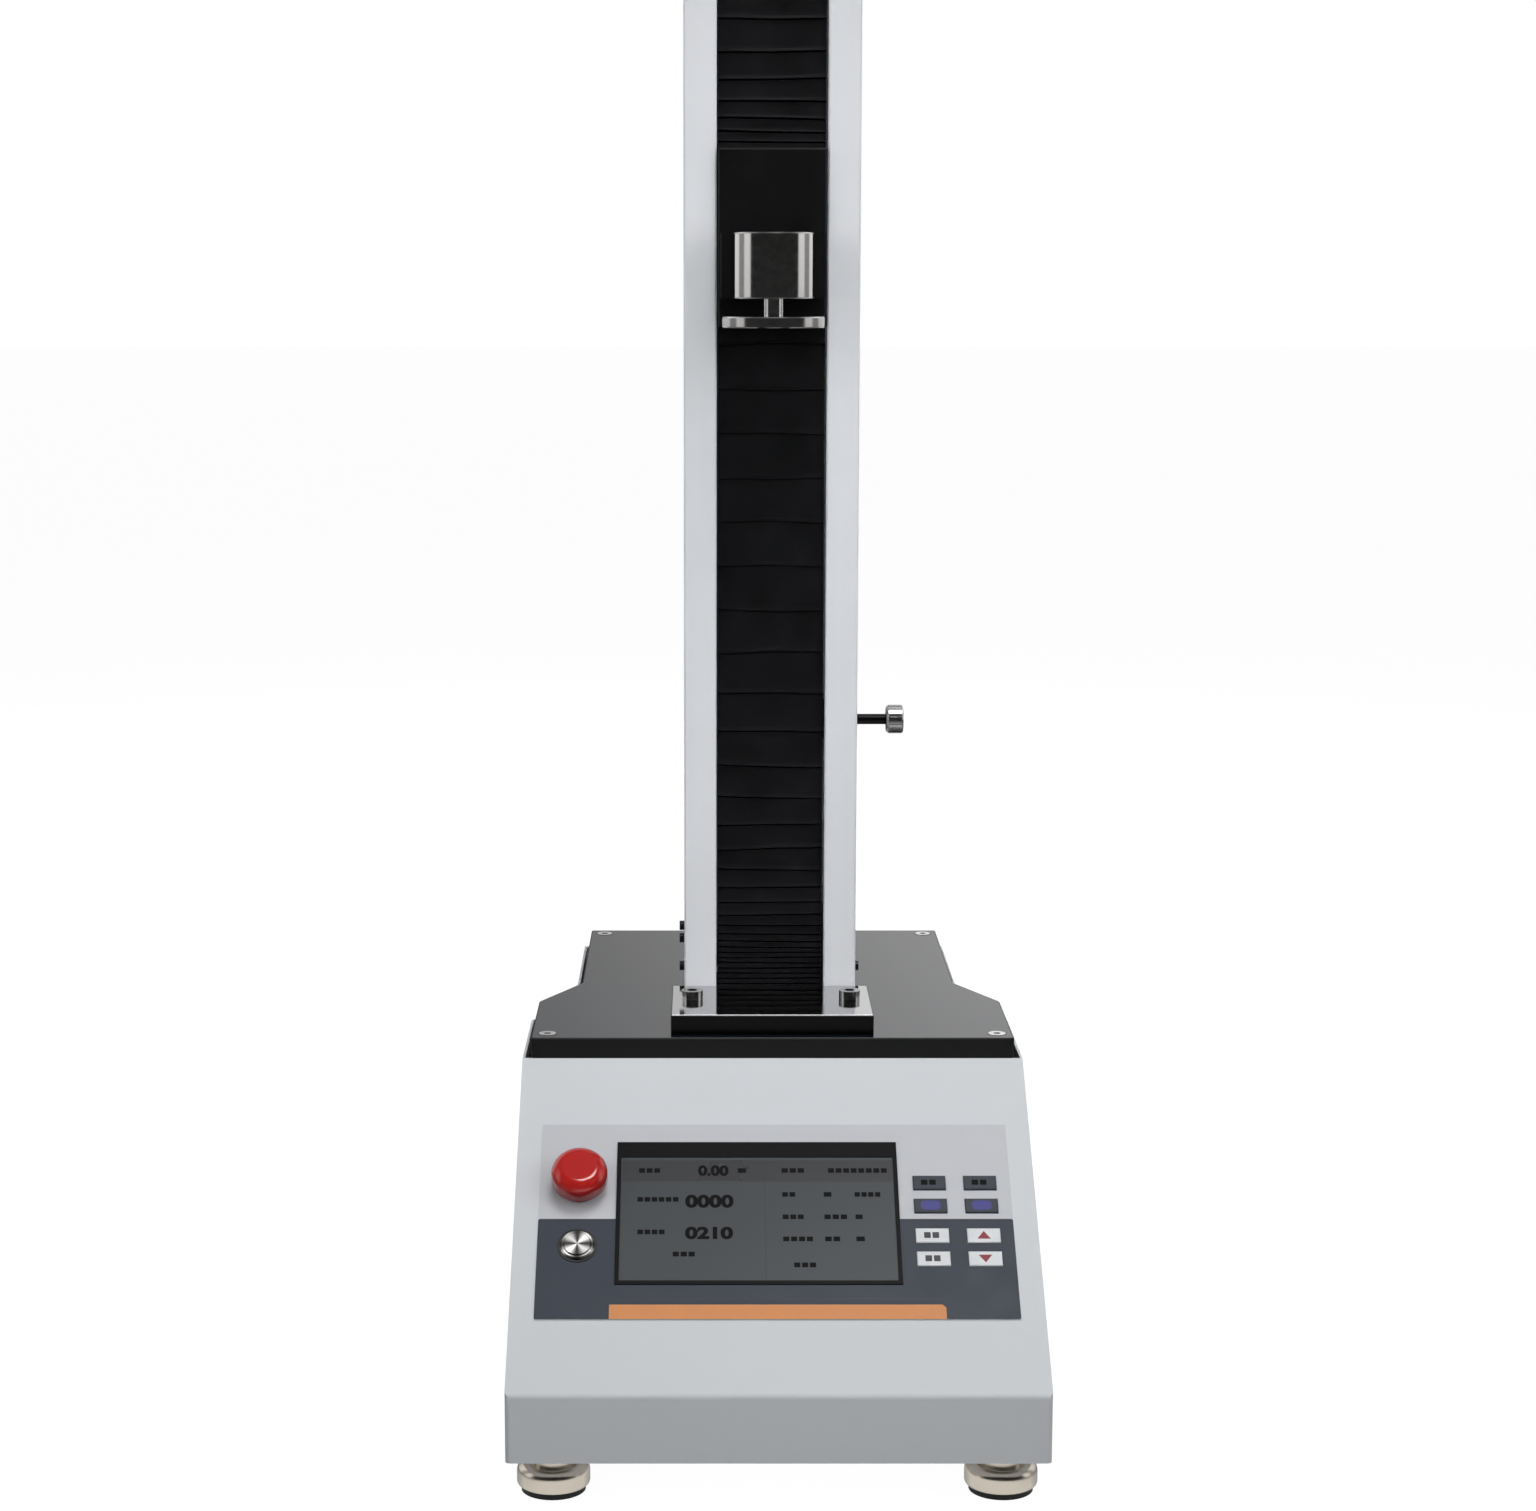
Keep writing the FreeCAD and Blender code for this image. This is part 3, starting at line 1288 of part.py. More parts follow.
def make_motor():
    half = "motor_half"
    body = new_body("motor")
    plan = new_sketch(body, XY, "plan", "motor_plate_bottom - motor_length")
    bevel = "motor_half - motor_corner"
    add_polygon(plan, [(half, "-(%s)" % bevel), (half, bevel), (bevel, half), ("-(%s)" % bevel, half),
                       ("-" + half, bevel), ("-" + half, "-(%s)" % bevel), ("-(%s)" % bevel, "-" + half),
                       (bevel, "-" + half)])
    pad(body, plan, "motor_length")
    boss = new_sketch(body, XY, "boss", "motor_plate_bottom")
    add_circle(boss, "0", "0", "motor_boss_diameter")
    pad(body, boss, "motor_boss_height")
    bore = new_sketch(body, XY, "bore", "motor_plate_bottom + motor_boss_height")
    add_circle(bore, "0", "0", "motor_shaft_diameter + 2 * fit_gap")
    pocket(body, bore, "motor_boss_height + motor_shaft_depth + loose_gap")
    finish_piece(place(body, y="motor_line"), "motor")
    plate = box("motor_plate_blank", "-motor_half - motor_plate_margin", "motor_half + motor_plate_margin",
                "motor_line - motor_half - motor_plate_margin",
                "motor_line + motor_half + motor_plate_margin", "motor_plate_bottom", "motor_plate_top")
    hole = rod("motor_plate_hole", "motor_boss_diameter + 2 * fit_gap", "0", "motor_line",
               "motor_plate_bottom - overcut", "motor_plate_top + overcut")
    finish_piece(cut("motor_plate", plate, [hole]), "motor_plate")
    reach = "(motor_half + motor_plate_margin - motor_post_inset)"
    for i, (x, y) in enumerate((x, y) for x in ("-1", "1") for y in ("-1", "1")):
        posts.append(rod("motor_post_%d" % i, "motor_post_diameter", "%s * %s" % (x, reach),
                         "motor_line + %s * %s" % (y, reach), "motor_plate_top", "housing_top"))


make_drive()
make_motor()

# Electronics on the base plate: supply, motor driver and controller board on standoffs


def make_supply():
    """A slotted sheet case, its back just ahead of the rear feet."""
    low, back = "supply_top", "supply_line + supply_length"
    left, right = "-supply_side - supply_width", "-supply_side"
    case = box("supply_blank", left, right, "supply_line", back, low, low + " + supply_height")
    count = int(SIZES["supply_slots"])
    slots = []
    for i in range(count):
        start = "supply_line + supply_length * %d / (supply_slots + 2)" % (i + 1)
        slots.append(box("supply_slot_%d" % i, left + " - overcut", left + " + supply_slot_depth",
                         start, start + " + supply_slot_width",
                         low + " + supply_slot_end", low + " + supply_height - supply_slot_end"))
    finish_piece(cut("power_supply", case, slots), "power_supply")


def make_driver():
    left, right = "supply_side", "supply_side + driver_width"
    back, top = "supply_line + driver_length", "supply_top + driver_height"
    case = box("driver_blank", left, right, "supply_line", back, "supply_top", top)
    slots = []
    for i in range(int(SIZES["driver_fins"])):
        start = "%s + driver_width * (%d + 0.75) / (driver_fins + 1)" % (left, i)
        slots.append(box("driver_slot_%d" % i, start, start + " + driver_width / (driver_fins + 1) / 2",
                         "supply_line - overcut", back + " + overcut",
                         top + " - driver_fin_depth", top + " + overcut"))
    finish_piece(cut("motor_driver", case, slots), "motor_driver")


def make_board():
    front, back = "front + board_front", "front + board_front + board_length"
    top = "supply_top + board_thickness"
    half = "board_width / 2"
    plate = box("board_plate", "-" + half, half, front, back, "supply_top", top)
    chips = [box("board_terminals", "-board_width / 2 + board_margin", "board_width / 2 - board_margin",
                 back + " - board_margin - terminal_depth", back + " - board_margin",
                 top, top + " + board_part_height"),
             box("board_chip", "-chip_size / 2", "chip_size / 2", front + " + chip_place",
                 front + " + chip_place + chip_size", top, top + " + chip_height"),
             box("board_relay", "relay_side", "relay_side + relay_width", front + " + relay_place",
                 front + " + relay_place + relay_length", top, top + " + board_part_height"),
             rod("board_capacitor", "capacitor_diameter", "-capacitor_side", front + " + capacitor_place",
                 top, top + " + capacitor_height")]
    finish_piece(fuse("controller_board", [plate] + chips), "controller_board")


def make_standoffs():
    """Short posts under the corners of the supply, the driver and the board."""
    inset = "standoff_inset"
    areas = (("-supply_side - supply_width", "-supply_side", "supply_line", "supply_length"),
             ("supply_side", "supply_side + driver_width", "supply_line", "driver_length"),
             ("-board_width / 2", "board_width / 2", "front + board_front", "board_length"))
    for i, (left, right, front, length) in enumerate(areas):
        for x in (left + " + " + inset, right + " - " + inset):
            for y in (front + " + " + inset, front + " + %s - %s" % (length, inset)):
                posts.append(rod("standoff_%d_%d" % (i, len(posts)), "standoff_diameter", x, y,
                                 "base_top", "supply_top"))


def make_corner_posts():
    """Posts that carry the table's corners on the base plate."""
    for i, (x, y) in enumerate(POSTS):
        blank = rod("post_%d" % i, "post_diameter", x, y, "base_top", "housing_top")
        thread = rod("post_thread_%d" % i, "table_screw_diameter + 2 * fit_gap", x, y,
                     "housing_top - post_thread_depth", "housing_top + overcut")
        posts.append(cut("post_cut_%d" % i, blank, [thread]))


make_supply()
make_driver()
make_board()
make_standoffs()
make_corner_posts()
group("frame_posts", posts)

# Control panel: overlay, display and eight keys, all modelled flat and then laid on the slope

KEYS = [("key_%s_%s" % (row_name, side_name), "key_left" + shift, row)
        for row_name, row in (("first", "key_first_row"), ("second", "key_second_row"),
                              ("third", "key_third_row"), ("fourth", "key_fourth_row"))
        for side_name, shift in (("left", ""), ("right", " + key_pitch"))]


def key_outline(sketch, x, y, grow):
    add_rectangle(sketch, "%s - key_width / 2 - (%s)" % (x, grow), "%s + key_width / 2 + (%s)" % (x, grow),
                  "%s - key_depth / 2 - (%s)" % (y, grow), "%s + key_depth / 2 + (%s)" % (y, grow))


def make_overlay():
    body = new_body("panel_overlay")
    outline = new_sketch(body, XY, "outline")
    add_rectangle(outline, "-overlay_width / 2", "overlay_width / 2", "overlay_low", "overlay_high")
    pad(body, outline, "overlay_thickness")
    holes = new_sketch(body, XY, "holes")
    add_rectangle(holes, "-display_left - key_gap", "display_width - display_left + key_gap",
                  "display_low - key_gap", "display_low + display_height + key_gap")
    add_circle(holes, "-stop_side", "stop_place", "stop_hole")
    add_circle(holes, "-power_side", "power_place", "power_hole")
    for _, x, y in KEYS:
        key_outline(holes, x, y, "key_gap")
    pocket(body, holes, None, back=True)
    finish_piece(lay_on_slope(body), "panel_overlay")


def make_display():
    frame = new_body("display_frame")
    left, right = "-display_left", "display_width - display_left"
    low, high = "display_low", "display_low + display_height"
    rim = new_sketch(frame, XY, "rim")
    add_rectangle(rim, left, right, low, high)
    pad(frame, rim, "display_proud")
    inset = "(display_border + loose_gap)"
    tray = new_sketch(frame, XY, "tray")
    add_rectangle(tray, "%s + %s" % (left, inset), "%s - %s" % (right, inset), "%s + %s" % (low, inset),
                  "%s - %s" % (high, inset))
    pad(frame, tray, "display_depth", back=True)
    well = new_sketch(frame, XY, "well", "display_proud")
    add_rectangle(well, left + " + display_border", right + " - display_border", low + " + display_border",
                  high + " - display_head")
    pocket(frame, well, "glass_thickness + glass_sink")
    finish_piece(lay_on_slope(frame), "display_frame")
    glass = new_body("display_glass")
    pane = new_sketch(glass, XY, "pane", "display_proud - glass_sink - glass_thickness")
    gap = "(display_border + fit_gap)"
    add_rectangle(pane, "%s + %s" % (left, gap), "%s - %s" % (right, gap), "%s + %s" % (low, gap),
                  high + " - display_head - fit_gap")
    pad(glass, pane, "glass_thickness")
    finish_piece(lay_on_slope(glass), "display_glass")


def make_key(name, x, y):
    body = new_body(name)
    outline = new_sketch(body, XY, "outline", "key_travel + fit_gap")
    key_outline(outline, x, y, "0")
    pad(body, outline, "key_height")
    top = value("key_travel + fit_gap + key_height")
    dress(body, "Chamfer", "key_edge", lambda e: lies_at(e, "z", top))
    finish_piece(lay_on_slope(body), name)


def turned(name, points, x, along):
    """A piece turned about the slope's normal from half an outline."""
    body = new_body(name)
    profile = new_sketch(body, XZ, "profile")
    add_polygon(profile, points)
    spin(body, profile)
    return finish_piece(lay_on_slope(body, x, along), name)


def make_stop_button():
    where = ("-stop_side", "stop_place")
    collar, barrel = "stop_collar_diameter / 2", "stop_body_radius"
    bore, low = "stop_stem_diameter / 2 + fit_gap", "-stop_body_length"
    housing = new_body("stop_housing")
    profile = new_sketch(housing, XZ, "profile")
    add_polygon(profile, [(bore, low), (barrel, low), (barrel, "overlay_thickness"),
                          (collar, "overlay_thickness"), (collar, "stop_seat"), (bore, "stop_seat")])
    spin(housing, profile)
    block = new_sketch(housing, XY, "block", "-stop_body_length")
    half = "stop_block_size / 2"
    add_rectangle(block, "-" + half, half, "-" + half, half)
    pad(housing, block, "stop_block_length", back=True)
    finish_piece(lay_on_slope(housing, *where), "stop_housing")
    stem = "stop_stem_diameter / 2"
    hollow = "stop_stem_bore / 2"
    turned("stop_stem", [("0", "-stop_body_length + stop_travel"), (stem, "-stop_body_length + stop_travel"),
                         (stem, "stop_seat + stop_travel"), (hollow, "stop_seat + stop_travel"),
                         (hollow, "stop_stem_top"), ("0", "stop_stem_top")], *where)
    head, foot = "stop_head_diameter / 2", "stop_seat + stop_head_lift"
    top, inside = foot + " + stop_head_height", "stop_stem_bore / 2 + fit_gap"
    body = new_body("stop_head")
    profile = new_sketch(body, XZ, "profile")
    add_polygon(profile, [(inside, foot), (head + " - stop_head_cup", foot),
                          (head, foot + " + stop_head_skirt"), (head, top), ("0", top),
                          ("0", "stop_stem_top + loose_gap"), (inside, "stop_stem_top + loose_gap")])
    spin(body, profile)
    rim, crown = value(head), value(top)
    dress(body, "Fillet", "stop_head_round",
          lambda e: lies_at(e, "z", crown) and abs(e.BoundBox.XMax - rim) < NEAR)
    finish_piece(lay_on_slope(body, *where), "stop_head")


def make_power_button():
    where = ("-power_side", "power_place")
    bezel, barrel = "power_bezel_diameter / 2", "power_hole / 2 - hole_gap"
    bore, low = "power_cap_diameter / 2 + key_gap", "-power_body_length"
    well = "power_seat + power_cap_lift - power_cap_height"
    gasket, gasket_top = "power_gasket_diameter / 2", "overlay_thickness + power_gasket_height"
    floor = well + " - power_travel - fit_gap"
    turned("power_bezel", [("0", low), (barrel, low), (barrel, "overlay_thickness"),
                           (gasket, "overlay_thickness"), (gasket, gasket_top), (bezel, gasket_top),
                           (bezel, "power_seat - power_bezel_edge"),
                           (bezel + " - power_bezel_edge", "power_seat"),
                           (bore, "power_seat"), (bore, floor), ("0", floor)], *where)
    cap, top = "power_cap_diameter / 2", "power_seat + power_cap_lift"
    turned("power_cap", [("0", well), (cap, well), (cap, top + " - power_cap_edge"),
                         (cap + " - power_cap_edge", top), ("0", top)], *where)


make_overlay()
make_display()
for key_name, key_x, key_y in KEYS:
    make_key(key_name, key_x, key_y)
make_stop_button()
make_power_button()

# Rear panel: an inlet module in the back wall, with a socket over its power switch


def rear_box(name, rise, width, height, start, end):
    """A block across the back wall, rise above the module's middle. start and end are beyond the wall."""
    return box(name, "inlet_side - (%s) / 2" % width, "inlet_side + (%s) / 2" % width,
               "back + " + start, "back + " + end,
               "rear_centre + %s - (%s) / 2" % (rise, height), "rear_centre + %s + (%s) / 2" % (rise, height))


def make_inlet():
    flange = rear_box("inlet_flange", "0", "inlet_width", "inlet_height", "0", "flange_proud")
    shell = rear_box("inlet_shell", "0", "inlet_body_width", "inlet_body_height",
                     "flange_proud - inlet_body_depth", "flange_proud")
    well = rear_box("inlet_well", "socket_rise", "socket_width", "socket_height",
                    "flange_proud - socket_depth", "flange_proud + overcut")
    switch_well = rear_box("inlet_switch_well", "-switch_drop", "rocker_width + 2 * rocker_gap",
                           "rocker_height + 2 * rocker_gap",
                           "flange_proud - rocker_well", "flange_proud + overcut")
    body = cut("inlet_body", fuse("inlet_blank", [flange, shell]), [well, switch_well])
    pins = []
    for i, (x, rise) in enumerate((("-pin_spread", "-pin_offset"), ("pin_spread", "-pin_offset"),
                                   ("0", "pin_offset"))):
        pins.append(box("inlet_pin_%d" % i, "inlet_side + %s - pin_width / 2" % x,
                        "inlet_side + %s + pin_width / 2" % x, "back + flange_proud - socket_depth - overcut",
                        "back + flange_proud - socket_depth + pin_length",
                        "rear_centre + socket_rise + %s - pin_height / 2" % rise,
                        "rear_centre + socket_rise + %s + pin_height / 2" % rise))
    finish_piece(fuse("mains_inlet", [body] + pins), "mains_inlet")
    # the rocker's face is dished about its pivot in the middle of the well
    rocker = new_body("power_rocker")
    outline = new_sketch(rocker, YZ, "outline")
    reach = "(rocker_height / 2)"
    low = [("-rocker_thickness", "-rocker_root"), ("-rocker_thickness / 3", "-rocker_heel * " + reach),
           ("0", "-rocker_edge * " + reach), ("rocker_rise", "-rocker_brow * " + reach)]
    high = [("rocker_rise", "rocker_brow * " + reach), ("0", "rocker_edge * " + reach),
            ("-rocker_thickness / 3", "rocker_heel * " + reach), ("-rocker_thickness", "rocker_root")]
    add_polygon(outline, low + [("rocker_rise - rocker_dish", "0")] + high)
    pad(rocker, outline, "rocker_width", both=True)
    tilted = FreeCAD.Rotation(FreeCAD.Vector(1, 0, 0), value("rocker_tilt"))
    rocker.Placement = FreeCAD.Placement(FreeCAD.Vector(), tilted)
    rocker.setExpression("Placement.Rotation.Angle", full("rocker_tilt"))
    place(rocker, "inlet_side", "back - rocker_sink", "rear_centre - switch_drop")
    finish_piece(rocker, "power_rocker")


make_inlet()

# Check every object, then write each sub-part

doc.recompute()
for thing in doc.Objects:
    if "Invalid" in thing.State or "Error" in thing.State:
        raise RuntimeError("%s failed: %s" % (thing.Name, thing.State))
for thing in parts:
    if thing.Shape.isNull() or not thing.Shape.isValid():
        raise RuntimeError(thing.Label + " has no valid shape")
    if not thing.Shape.Solids:
        raise RuntimeError(thing.Label + " has no solid")

os.makedirs("parts", exist_ok=True)
for thing in parts:
    thing.Shape.exportStep(os.path.join("parts", thing.Label + ".step"))
print("%d sub-parts written" % len(parts))
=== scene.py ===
import math
import random

import bmesh
import bpy
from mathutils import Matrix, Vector


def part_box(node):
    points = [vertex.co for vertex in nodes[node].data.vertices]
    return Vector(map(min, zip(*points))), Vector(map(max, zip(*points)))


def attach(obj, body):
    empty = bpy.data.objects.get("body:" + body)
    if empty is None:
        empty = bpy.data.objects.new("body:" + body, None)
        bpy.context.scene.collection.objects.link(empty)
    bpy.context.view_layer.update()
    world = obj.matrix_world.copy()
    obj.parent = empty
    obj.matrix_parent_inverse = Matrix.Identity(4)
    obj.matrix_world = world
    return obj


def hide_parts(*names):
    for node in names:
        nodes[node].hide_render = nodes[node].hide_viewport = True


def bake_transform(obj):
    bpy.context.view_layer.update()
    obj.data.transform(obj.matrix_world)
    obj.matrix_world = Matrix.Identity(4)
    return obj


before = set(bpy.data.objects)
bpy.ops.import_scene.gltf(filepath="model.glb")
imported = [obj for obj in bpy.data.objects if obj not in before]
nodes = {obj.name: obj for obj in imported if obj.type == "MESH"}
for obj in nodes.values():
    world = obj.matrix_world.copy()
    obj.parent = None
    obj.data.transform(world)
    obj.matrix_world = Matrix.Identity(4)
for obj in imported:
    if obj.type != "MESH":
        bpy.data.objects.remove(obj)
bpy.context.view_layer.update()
MM = 0.001

# Places in the part's frame, in metres

SLOPE_FOOT = Vector((0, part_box("housing_shell")[0].y, 65.5 * MM))
SLOPE_UP = Vector((0, 0.8, 0.6))
SLOPE_OUT = Vector((0, -0.6, 0.8))
TABLE_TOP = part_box("table_plate")[1].z
BLOCK_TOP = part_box("anvil_block")[1].z
COLUMN_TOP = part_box("column_back")[1].z
CARRIAGE_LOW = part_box("carriage_plate")[0].z
CARRIAGE_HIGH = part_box("carriage_plate")[1].z
PAD_HEIGHT = 3.2 * MM
BEZEL_RADIUS = 9.95 * MM
EDGE_BREAK = 0.05 * MM
KNOB_LENGTH = 10.5 * MM
KNOB_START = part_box("limit_screw_lower")[1].x - KNOB_LENGTH


def on_slope(x, up, out):
    """A point given in millimetres across, up and out of the sloped panel."""
    return SLOPE_FOOT + Vector((x * MM, 0, 0)) + SLOPE_UP * (up * MM) + SLOPE_OUT * (out * MM)


def slope_box(name):
    """A node's lowest and highest place across, up and out of the slope, in millimetres."""
    places = []
    for vertex in nodes[name].data.vertices:
        rise = (vertex.co - SLOPE_FOOT) / MM
        places.append((rise.x, rise.dot(SLOPE_UP), rise.dot(SLOPE_OUT)))
    return [Vector([pick(values) for values in zip(*places)]) for pick in (min, max)]


def slope_middle(name):
    low, high = slope_box(name)
    return (low + high) / 2


FILM_LOW, FILM_HIGH = slope_box("panel_overlay")
SCREEN_LOW, SCREEN_HIGH = slope_box("display_glass")

# Functions for materials


def node(material, kind, **values):
    """A shader node, with its properties and input values set by name."""
    made = material.node_tree.nodes.new("ShaderNode" + kind)
    for name, value in values.items():
        if name in made.inputs:
            made.inputs[name].default_value = value
        else:
            setattr(made, name, value)
    return made


def join(material, output, target):
    material.node_tree.links.new(output, target)


def math_node(material, operation, first, second=None):
    """A maths node fed by sockets or numbers."""
    made = node(material, "Math", operation=operation)
    for index, thing in enumerate((first, second)):
        if thing is None:
            continue
        if isinstance(thing, (int, float)):
            made.inputs[index].default_value = thing
        else:
            join(material, thing, made.inputs[index])
    return made.outputs[0]


def plain(name, color, roughness=0.5, metallic=0.0, **sockets):
    """A material with constants on its shader's own sockets."""
    material = bpy.data.materials.new(name)
    material.use_nodes = True
    shader = material.node_tree.nodes["Principled BSDF"]
    shader.inputs["Base Color"].default_value = (*color, 1)
    shader.inputs["Roughness"].default_value = roughness
    shader.inputs["Metallic"].default_value = metallic
    for socket, value in sockets.items():
        shader.inputs[socket.replace("_", " ")].default_value = value
    return material


def shader_of(material):
    return material.node_tree.nodes["Principled BSDF"]


def place_of(material):
    """The place in the part's frame, in metres, as three sockets."""
    coordinates = node(material, "TexCoord")
    apart = node(material, "SeparateXYZ")
    join(material, coordinates.outputs["Object"], apart.inputs[0])
    return apart.outputs


def noise(material, scale, stretch=(1, 1, 1), detail=3.0):
    """Noise with a given number of cells to a metre, squeezed along an axis by a stretch above 1."""
    coordinates = node(material, "TexCoord")
    mapping = node(material, "Mapping")
    mapping.inputs["Scale"].default_value = stretch
    join(material, coordinates.outputs["Object"], mapping.inputs["Vector"])
    made = node(material, "TexNoise", Scale=scale, Detail=detail, Roughness=0.55)
    join(material, mapping.outputs["Vector"], made.inputs["Vector"])
    return made.outputs["Fac"]


def vary_color(material, factor, low, high):
    """Base colour that drifts between two colours."""
    ramp = node(material, "ValToRGB")
    ramp.color_ramp.elements[0].position = 0.3
    ramp.color_ramp.elements[1].position = 0.7
    ramp.color_ramp.elements[0].color = (*low, 1)
    ramp.color_ramp.elements[1].color = (*high, 1)
    join(material, factor, ramp.inputs["Fac"])
    join(material, ramp.outputs["Color"], shader_of(material).inputs["Base Color"])


def vary_roughness(material, factor, low, high):
    spread = node(material, "MapRange")
    spread.inputs["From Min"].default_value = 0.3
    spread.inputs["From Max"].default_value = 0.7
    spread.inputs["To Min"].default_value = low
    spread.inputs["To Max"].default_value = high
    join(material, factor, spread.inputs["Value"])
    join(material, spread.outputs["Result"], shader_of(material).inputs["Roughness"])


def raise_bump(material, factor, height, strength=1.0):
    """A bump whose full height is given in metres."""
    bump = node(material, "Bump", Strength=strength, Distance=height)
    join(material, factor, bump.inputs["Height"])
    join(material, bump.outputs["Normal"], shader_of(material).inputs["Normal"])


def tint(color, factor):
    return tuple(min(1.0, channel * factor) for channel in color)


def speckled(name, color, roughness, metallic=0.0, spread=0.06, scale=60, grain_scale=900, grain=0.00002,
             stretch=(1, 1, 1), rough_spread=0.06, **sockets):
    """The usual finish: slow drift in colour and gloss, and a fine grain in relief."""
    material = plain(name, color, roughness, metallic, **sockets)
    drift = noise(material, scale, detail=4.0)
    vary_color(material, drift, tint(color, 1 - spread), tint(color, 1 + spread))
    vary_roughness(material, drift, roughness - rough_spread, roughness + rough_spread)
    raise_bump(material, noise(material, grain_scale, stretch), grain)
    return material


def split_color(material, mask, low, high):
    """Base colour low where the mask is 0 and high where it is 1. Each is a colour or a socket."""
    mix = node(material, "Mix", data_type="RGBA")
    for index, color in ((6, low), (7, high)):
        if isinstance(color, tuple):
            mix.inputs[index].default_value = (*color, 1)
        else:
            join(material, color, mix.inputs[index])
    join(material, mask, mix.inputs[0])
    join(material, mix.outputs[2], shader_of(material).inputs["Base Color"])


def split_value(material, mask, socket, low, high):
    spread = node(material, "MapRange")
    spread.inputs["To Min"].default_value = low
    spread.inputs["To Max"].default_value = high
    join(material, mask, spread.inputs["Value"])
    join(material, spread.outputs["Result"], shader_of(material).inputs[socket])


def coat_nodes(material, *names):
    """Give a material to CAD nodes."""
    for name in names:
        mesh_object = nodes[name]
        if not mesh_object.material_slots:
            mesh_object.data.materials.append(material)
        for slot in mesh_object.material_slots:
            slot.material = material


# Materials of the housing and the table

PAINT = (0.672, 0.697, 0.72)
housing_paint = speckled("housing_paint", PAINT, 0.42, spread=0.015, scale=9, grain_scale=1400,
                         grain=0.00003, Specular_IOR_Level=0.35)
coat_nodes(housing_paint, "housing_shell")

zinc = speckled("zinc", (0.52, 0.53, 0.55), 0.38, 1.0, spread=0.12, scale=90, grain_scale=500)
coat_nodes(zinc, "base_plate", "frame_posts", "motor_plate")

machined = speckled("machined", (0.56, 0.57, 0.58), 0.32, 1.0, stretch=(1, 1, 12), grain_scale=260)
coat_nodes(machined, "bearing_block", "carriage_saddle", "ball_nut")


SHADED_TABLE_EDGE = (0.003, 0.003, 0.0035)
TABLE_FACE_REFLECTION_TINT = (0.006, 0.009, 0.014)
BLOCK_SIDES_DARK_REFLECTION = (0.03, 0.03, 0.032)
BLOCK_FACE = (0.62, 0.62, 0.63)


def make_table_black():
    """Polished black on top, its colour tinted blue as a painted reflection tint; painted darker on its
    edges as painted shade, where it is also rougher.
    """
    material = plain("table_black", TABLE_FACE_REFLECTION_TINT, 0.2)
    height = place_of(material)[2]
    # Painted shade: below the top face the colour drops to a darker black. The face colour's blue tint is a
    # painted reflection tint.
    top = math_node(material, "GREATER_THAN", height, TABLE_TOP - EDGE_BREAK)
    split_color(material, top, SHADED_TABLE_EDGE, TABLE_FACE_REFLECTION_TINT)
    split_value(material, top, "Roughness", 0.6, 0.2)
    raise_bump(material, noise(material, 700), 0.000004)
    return material


def make_ground_steel():
    """Polished on top; its sides are painted near black as a painted reflection of the dark room in front,
    and are rougher.
    """
    material = plain("ground_steel", BLOCK_FACE, 0.1, 1.0)
    height = place_of(material)[2]
    # Painted reflection: below the top face the sides are painted near black, for the dark room they face.
    top = math_node(material, "GREATER_THAN", height, BLOCK_TOP - EDGE_BREAK)
    split_color(material, top, BLOCK_SIDES_DARK_REFLECTION, BLOCK_FACE)
    split_value(material, top, "Roughness", 0.3, 0.07)
    raise_bump(material, noise(material, 900, (1, 18, 1)), 0.0000015)
    return material


coat_nodes(make_table_black(), "table_plate")
coat_nodes(make_ground_steel(), "anvil_block")

screw_steel = speckled("screw_steel", (0.45, 0.45, 0.44), 0.2, 1.0, spread=0.2, scale=300)
coat_nodes(screw_steel, "anvil_screws")
table_screw_steel = speckled("table_screw_steel", (0.8, 0.8, 0.79), 0.16, 1.0, spread=0.2, scale=300)
coat_nodes(table_screw_steel, "table_screws")

NICKEL = (0.68, 0.62, 0.53)
RUBBER = (0.012, 0.012, 0.012)
NICKEL_PAINTED_SHADE = 0.16
PAINTED_SHADE_START, PAINTED_SHADE_END = 0.45, 0.9


def make_foot_nickel():
    """Warm satin nickel, turned, with painted shade where it curves away from view, standing on black
    rubber.
    """
    material = plain("foot_nickel", NICKEL, 0.28, 1.0)
    height = place_of(material)[2]
    metal = math_node(material, "GREATER_THAN", height, PAD_HEIGHT)
    # Painted shade: the nickel darkens towards its outline, where the surface faces away from view.
    slant = node(material, "LayerWeight", Blend=0.5)
    painted_shade_mask = node(material, "MapRange")
    painted_shade_mask.inputs["From Min"].default_value = PAINTED_SHADE_START
    painted_shade_mask.inputs["From Max"].default_value = PAINTED_SHADE_END
    join(material, slant.outputs["Facing"], painted_shade_mask.inputs["Value"])
    painted_shade = node(material, "Mix", data_type="RGBA")
    painted_shade.inputs[6].default_value = (*NICKEL, 1)
    painted_shade.inputs[7].default_value = (*tint(NICKEL, NICKEL_PAINTED_SHADE), 1)
    join(material, painted_shade_mask.outputs["Result"], painted_shade.inputs[0])
    split_color(material, metal, RUBBER, painted_shade.outputs[2])
    split_value(material, metal, "Metallic", 0.0, 1.0)
    split_value(material, metal, "Roughness", 0.75, 0.26)
    raise_bump(material, noise(material, 500, (0.3, 0.3, 14)), 0.00001)
    return material


foot_nickel = make_foot_nickel()
coat_nodes(foot_nickel, "foot_front_left", "foot_front_right", "foot_rear_left", "foot_rear_right")

# Materials of the column and what runs in it

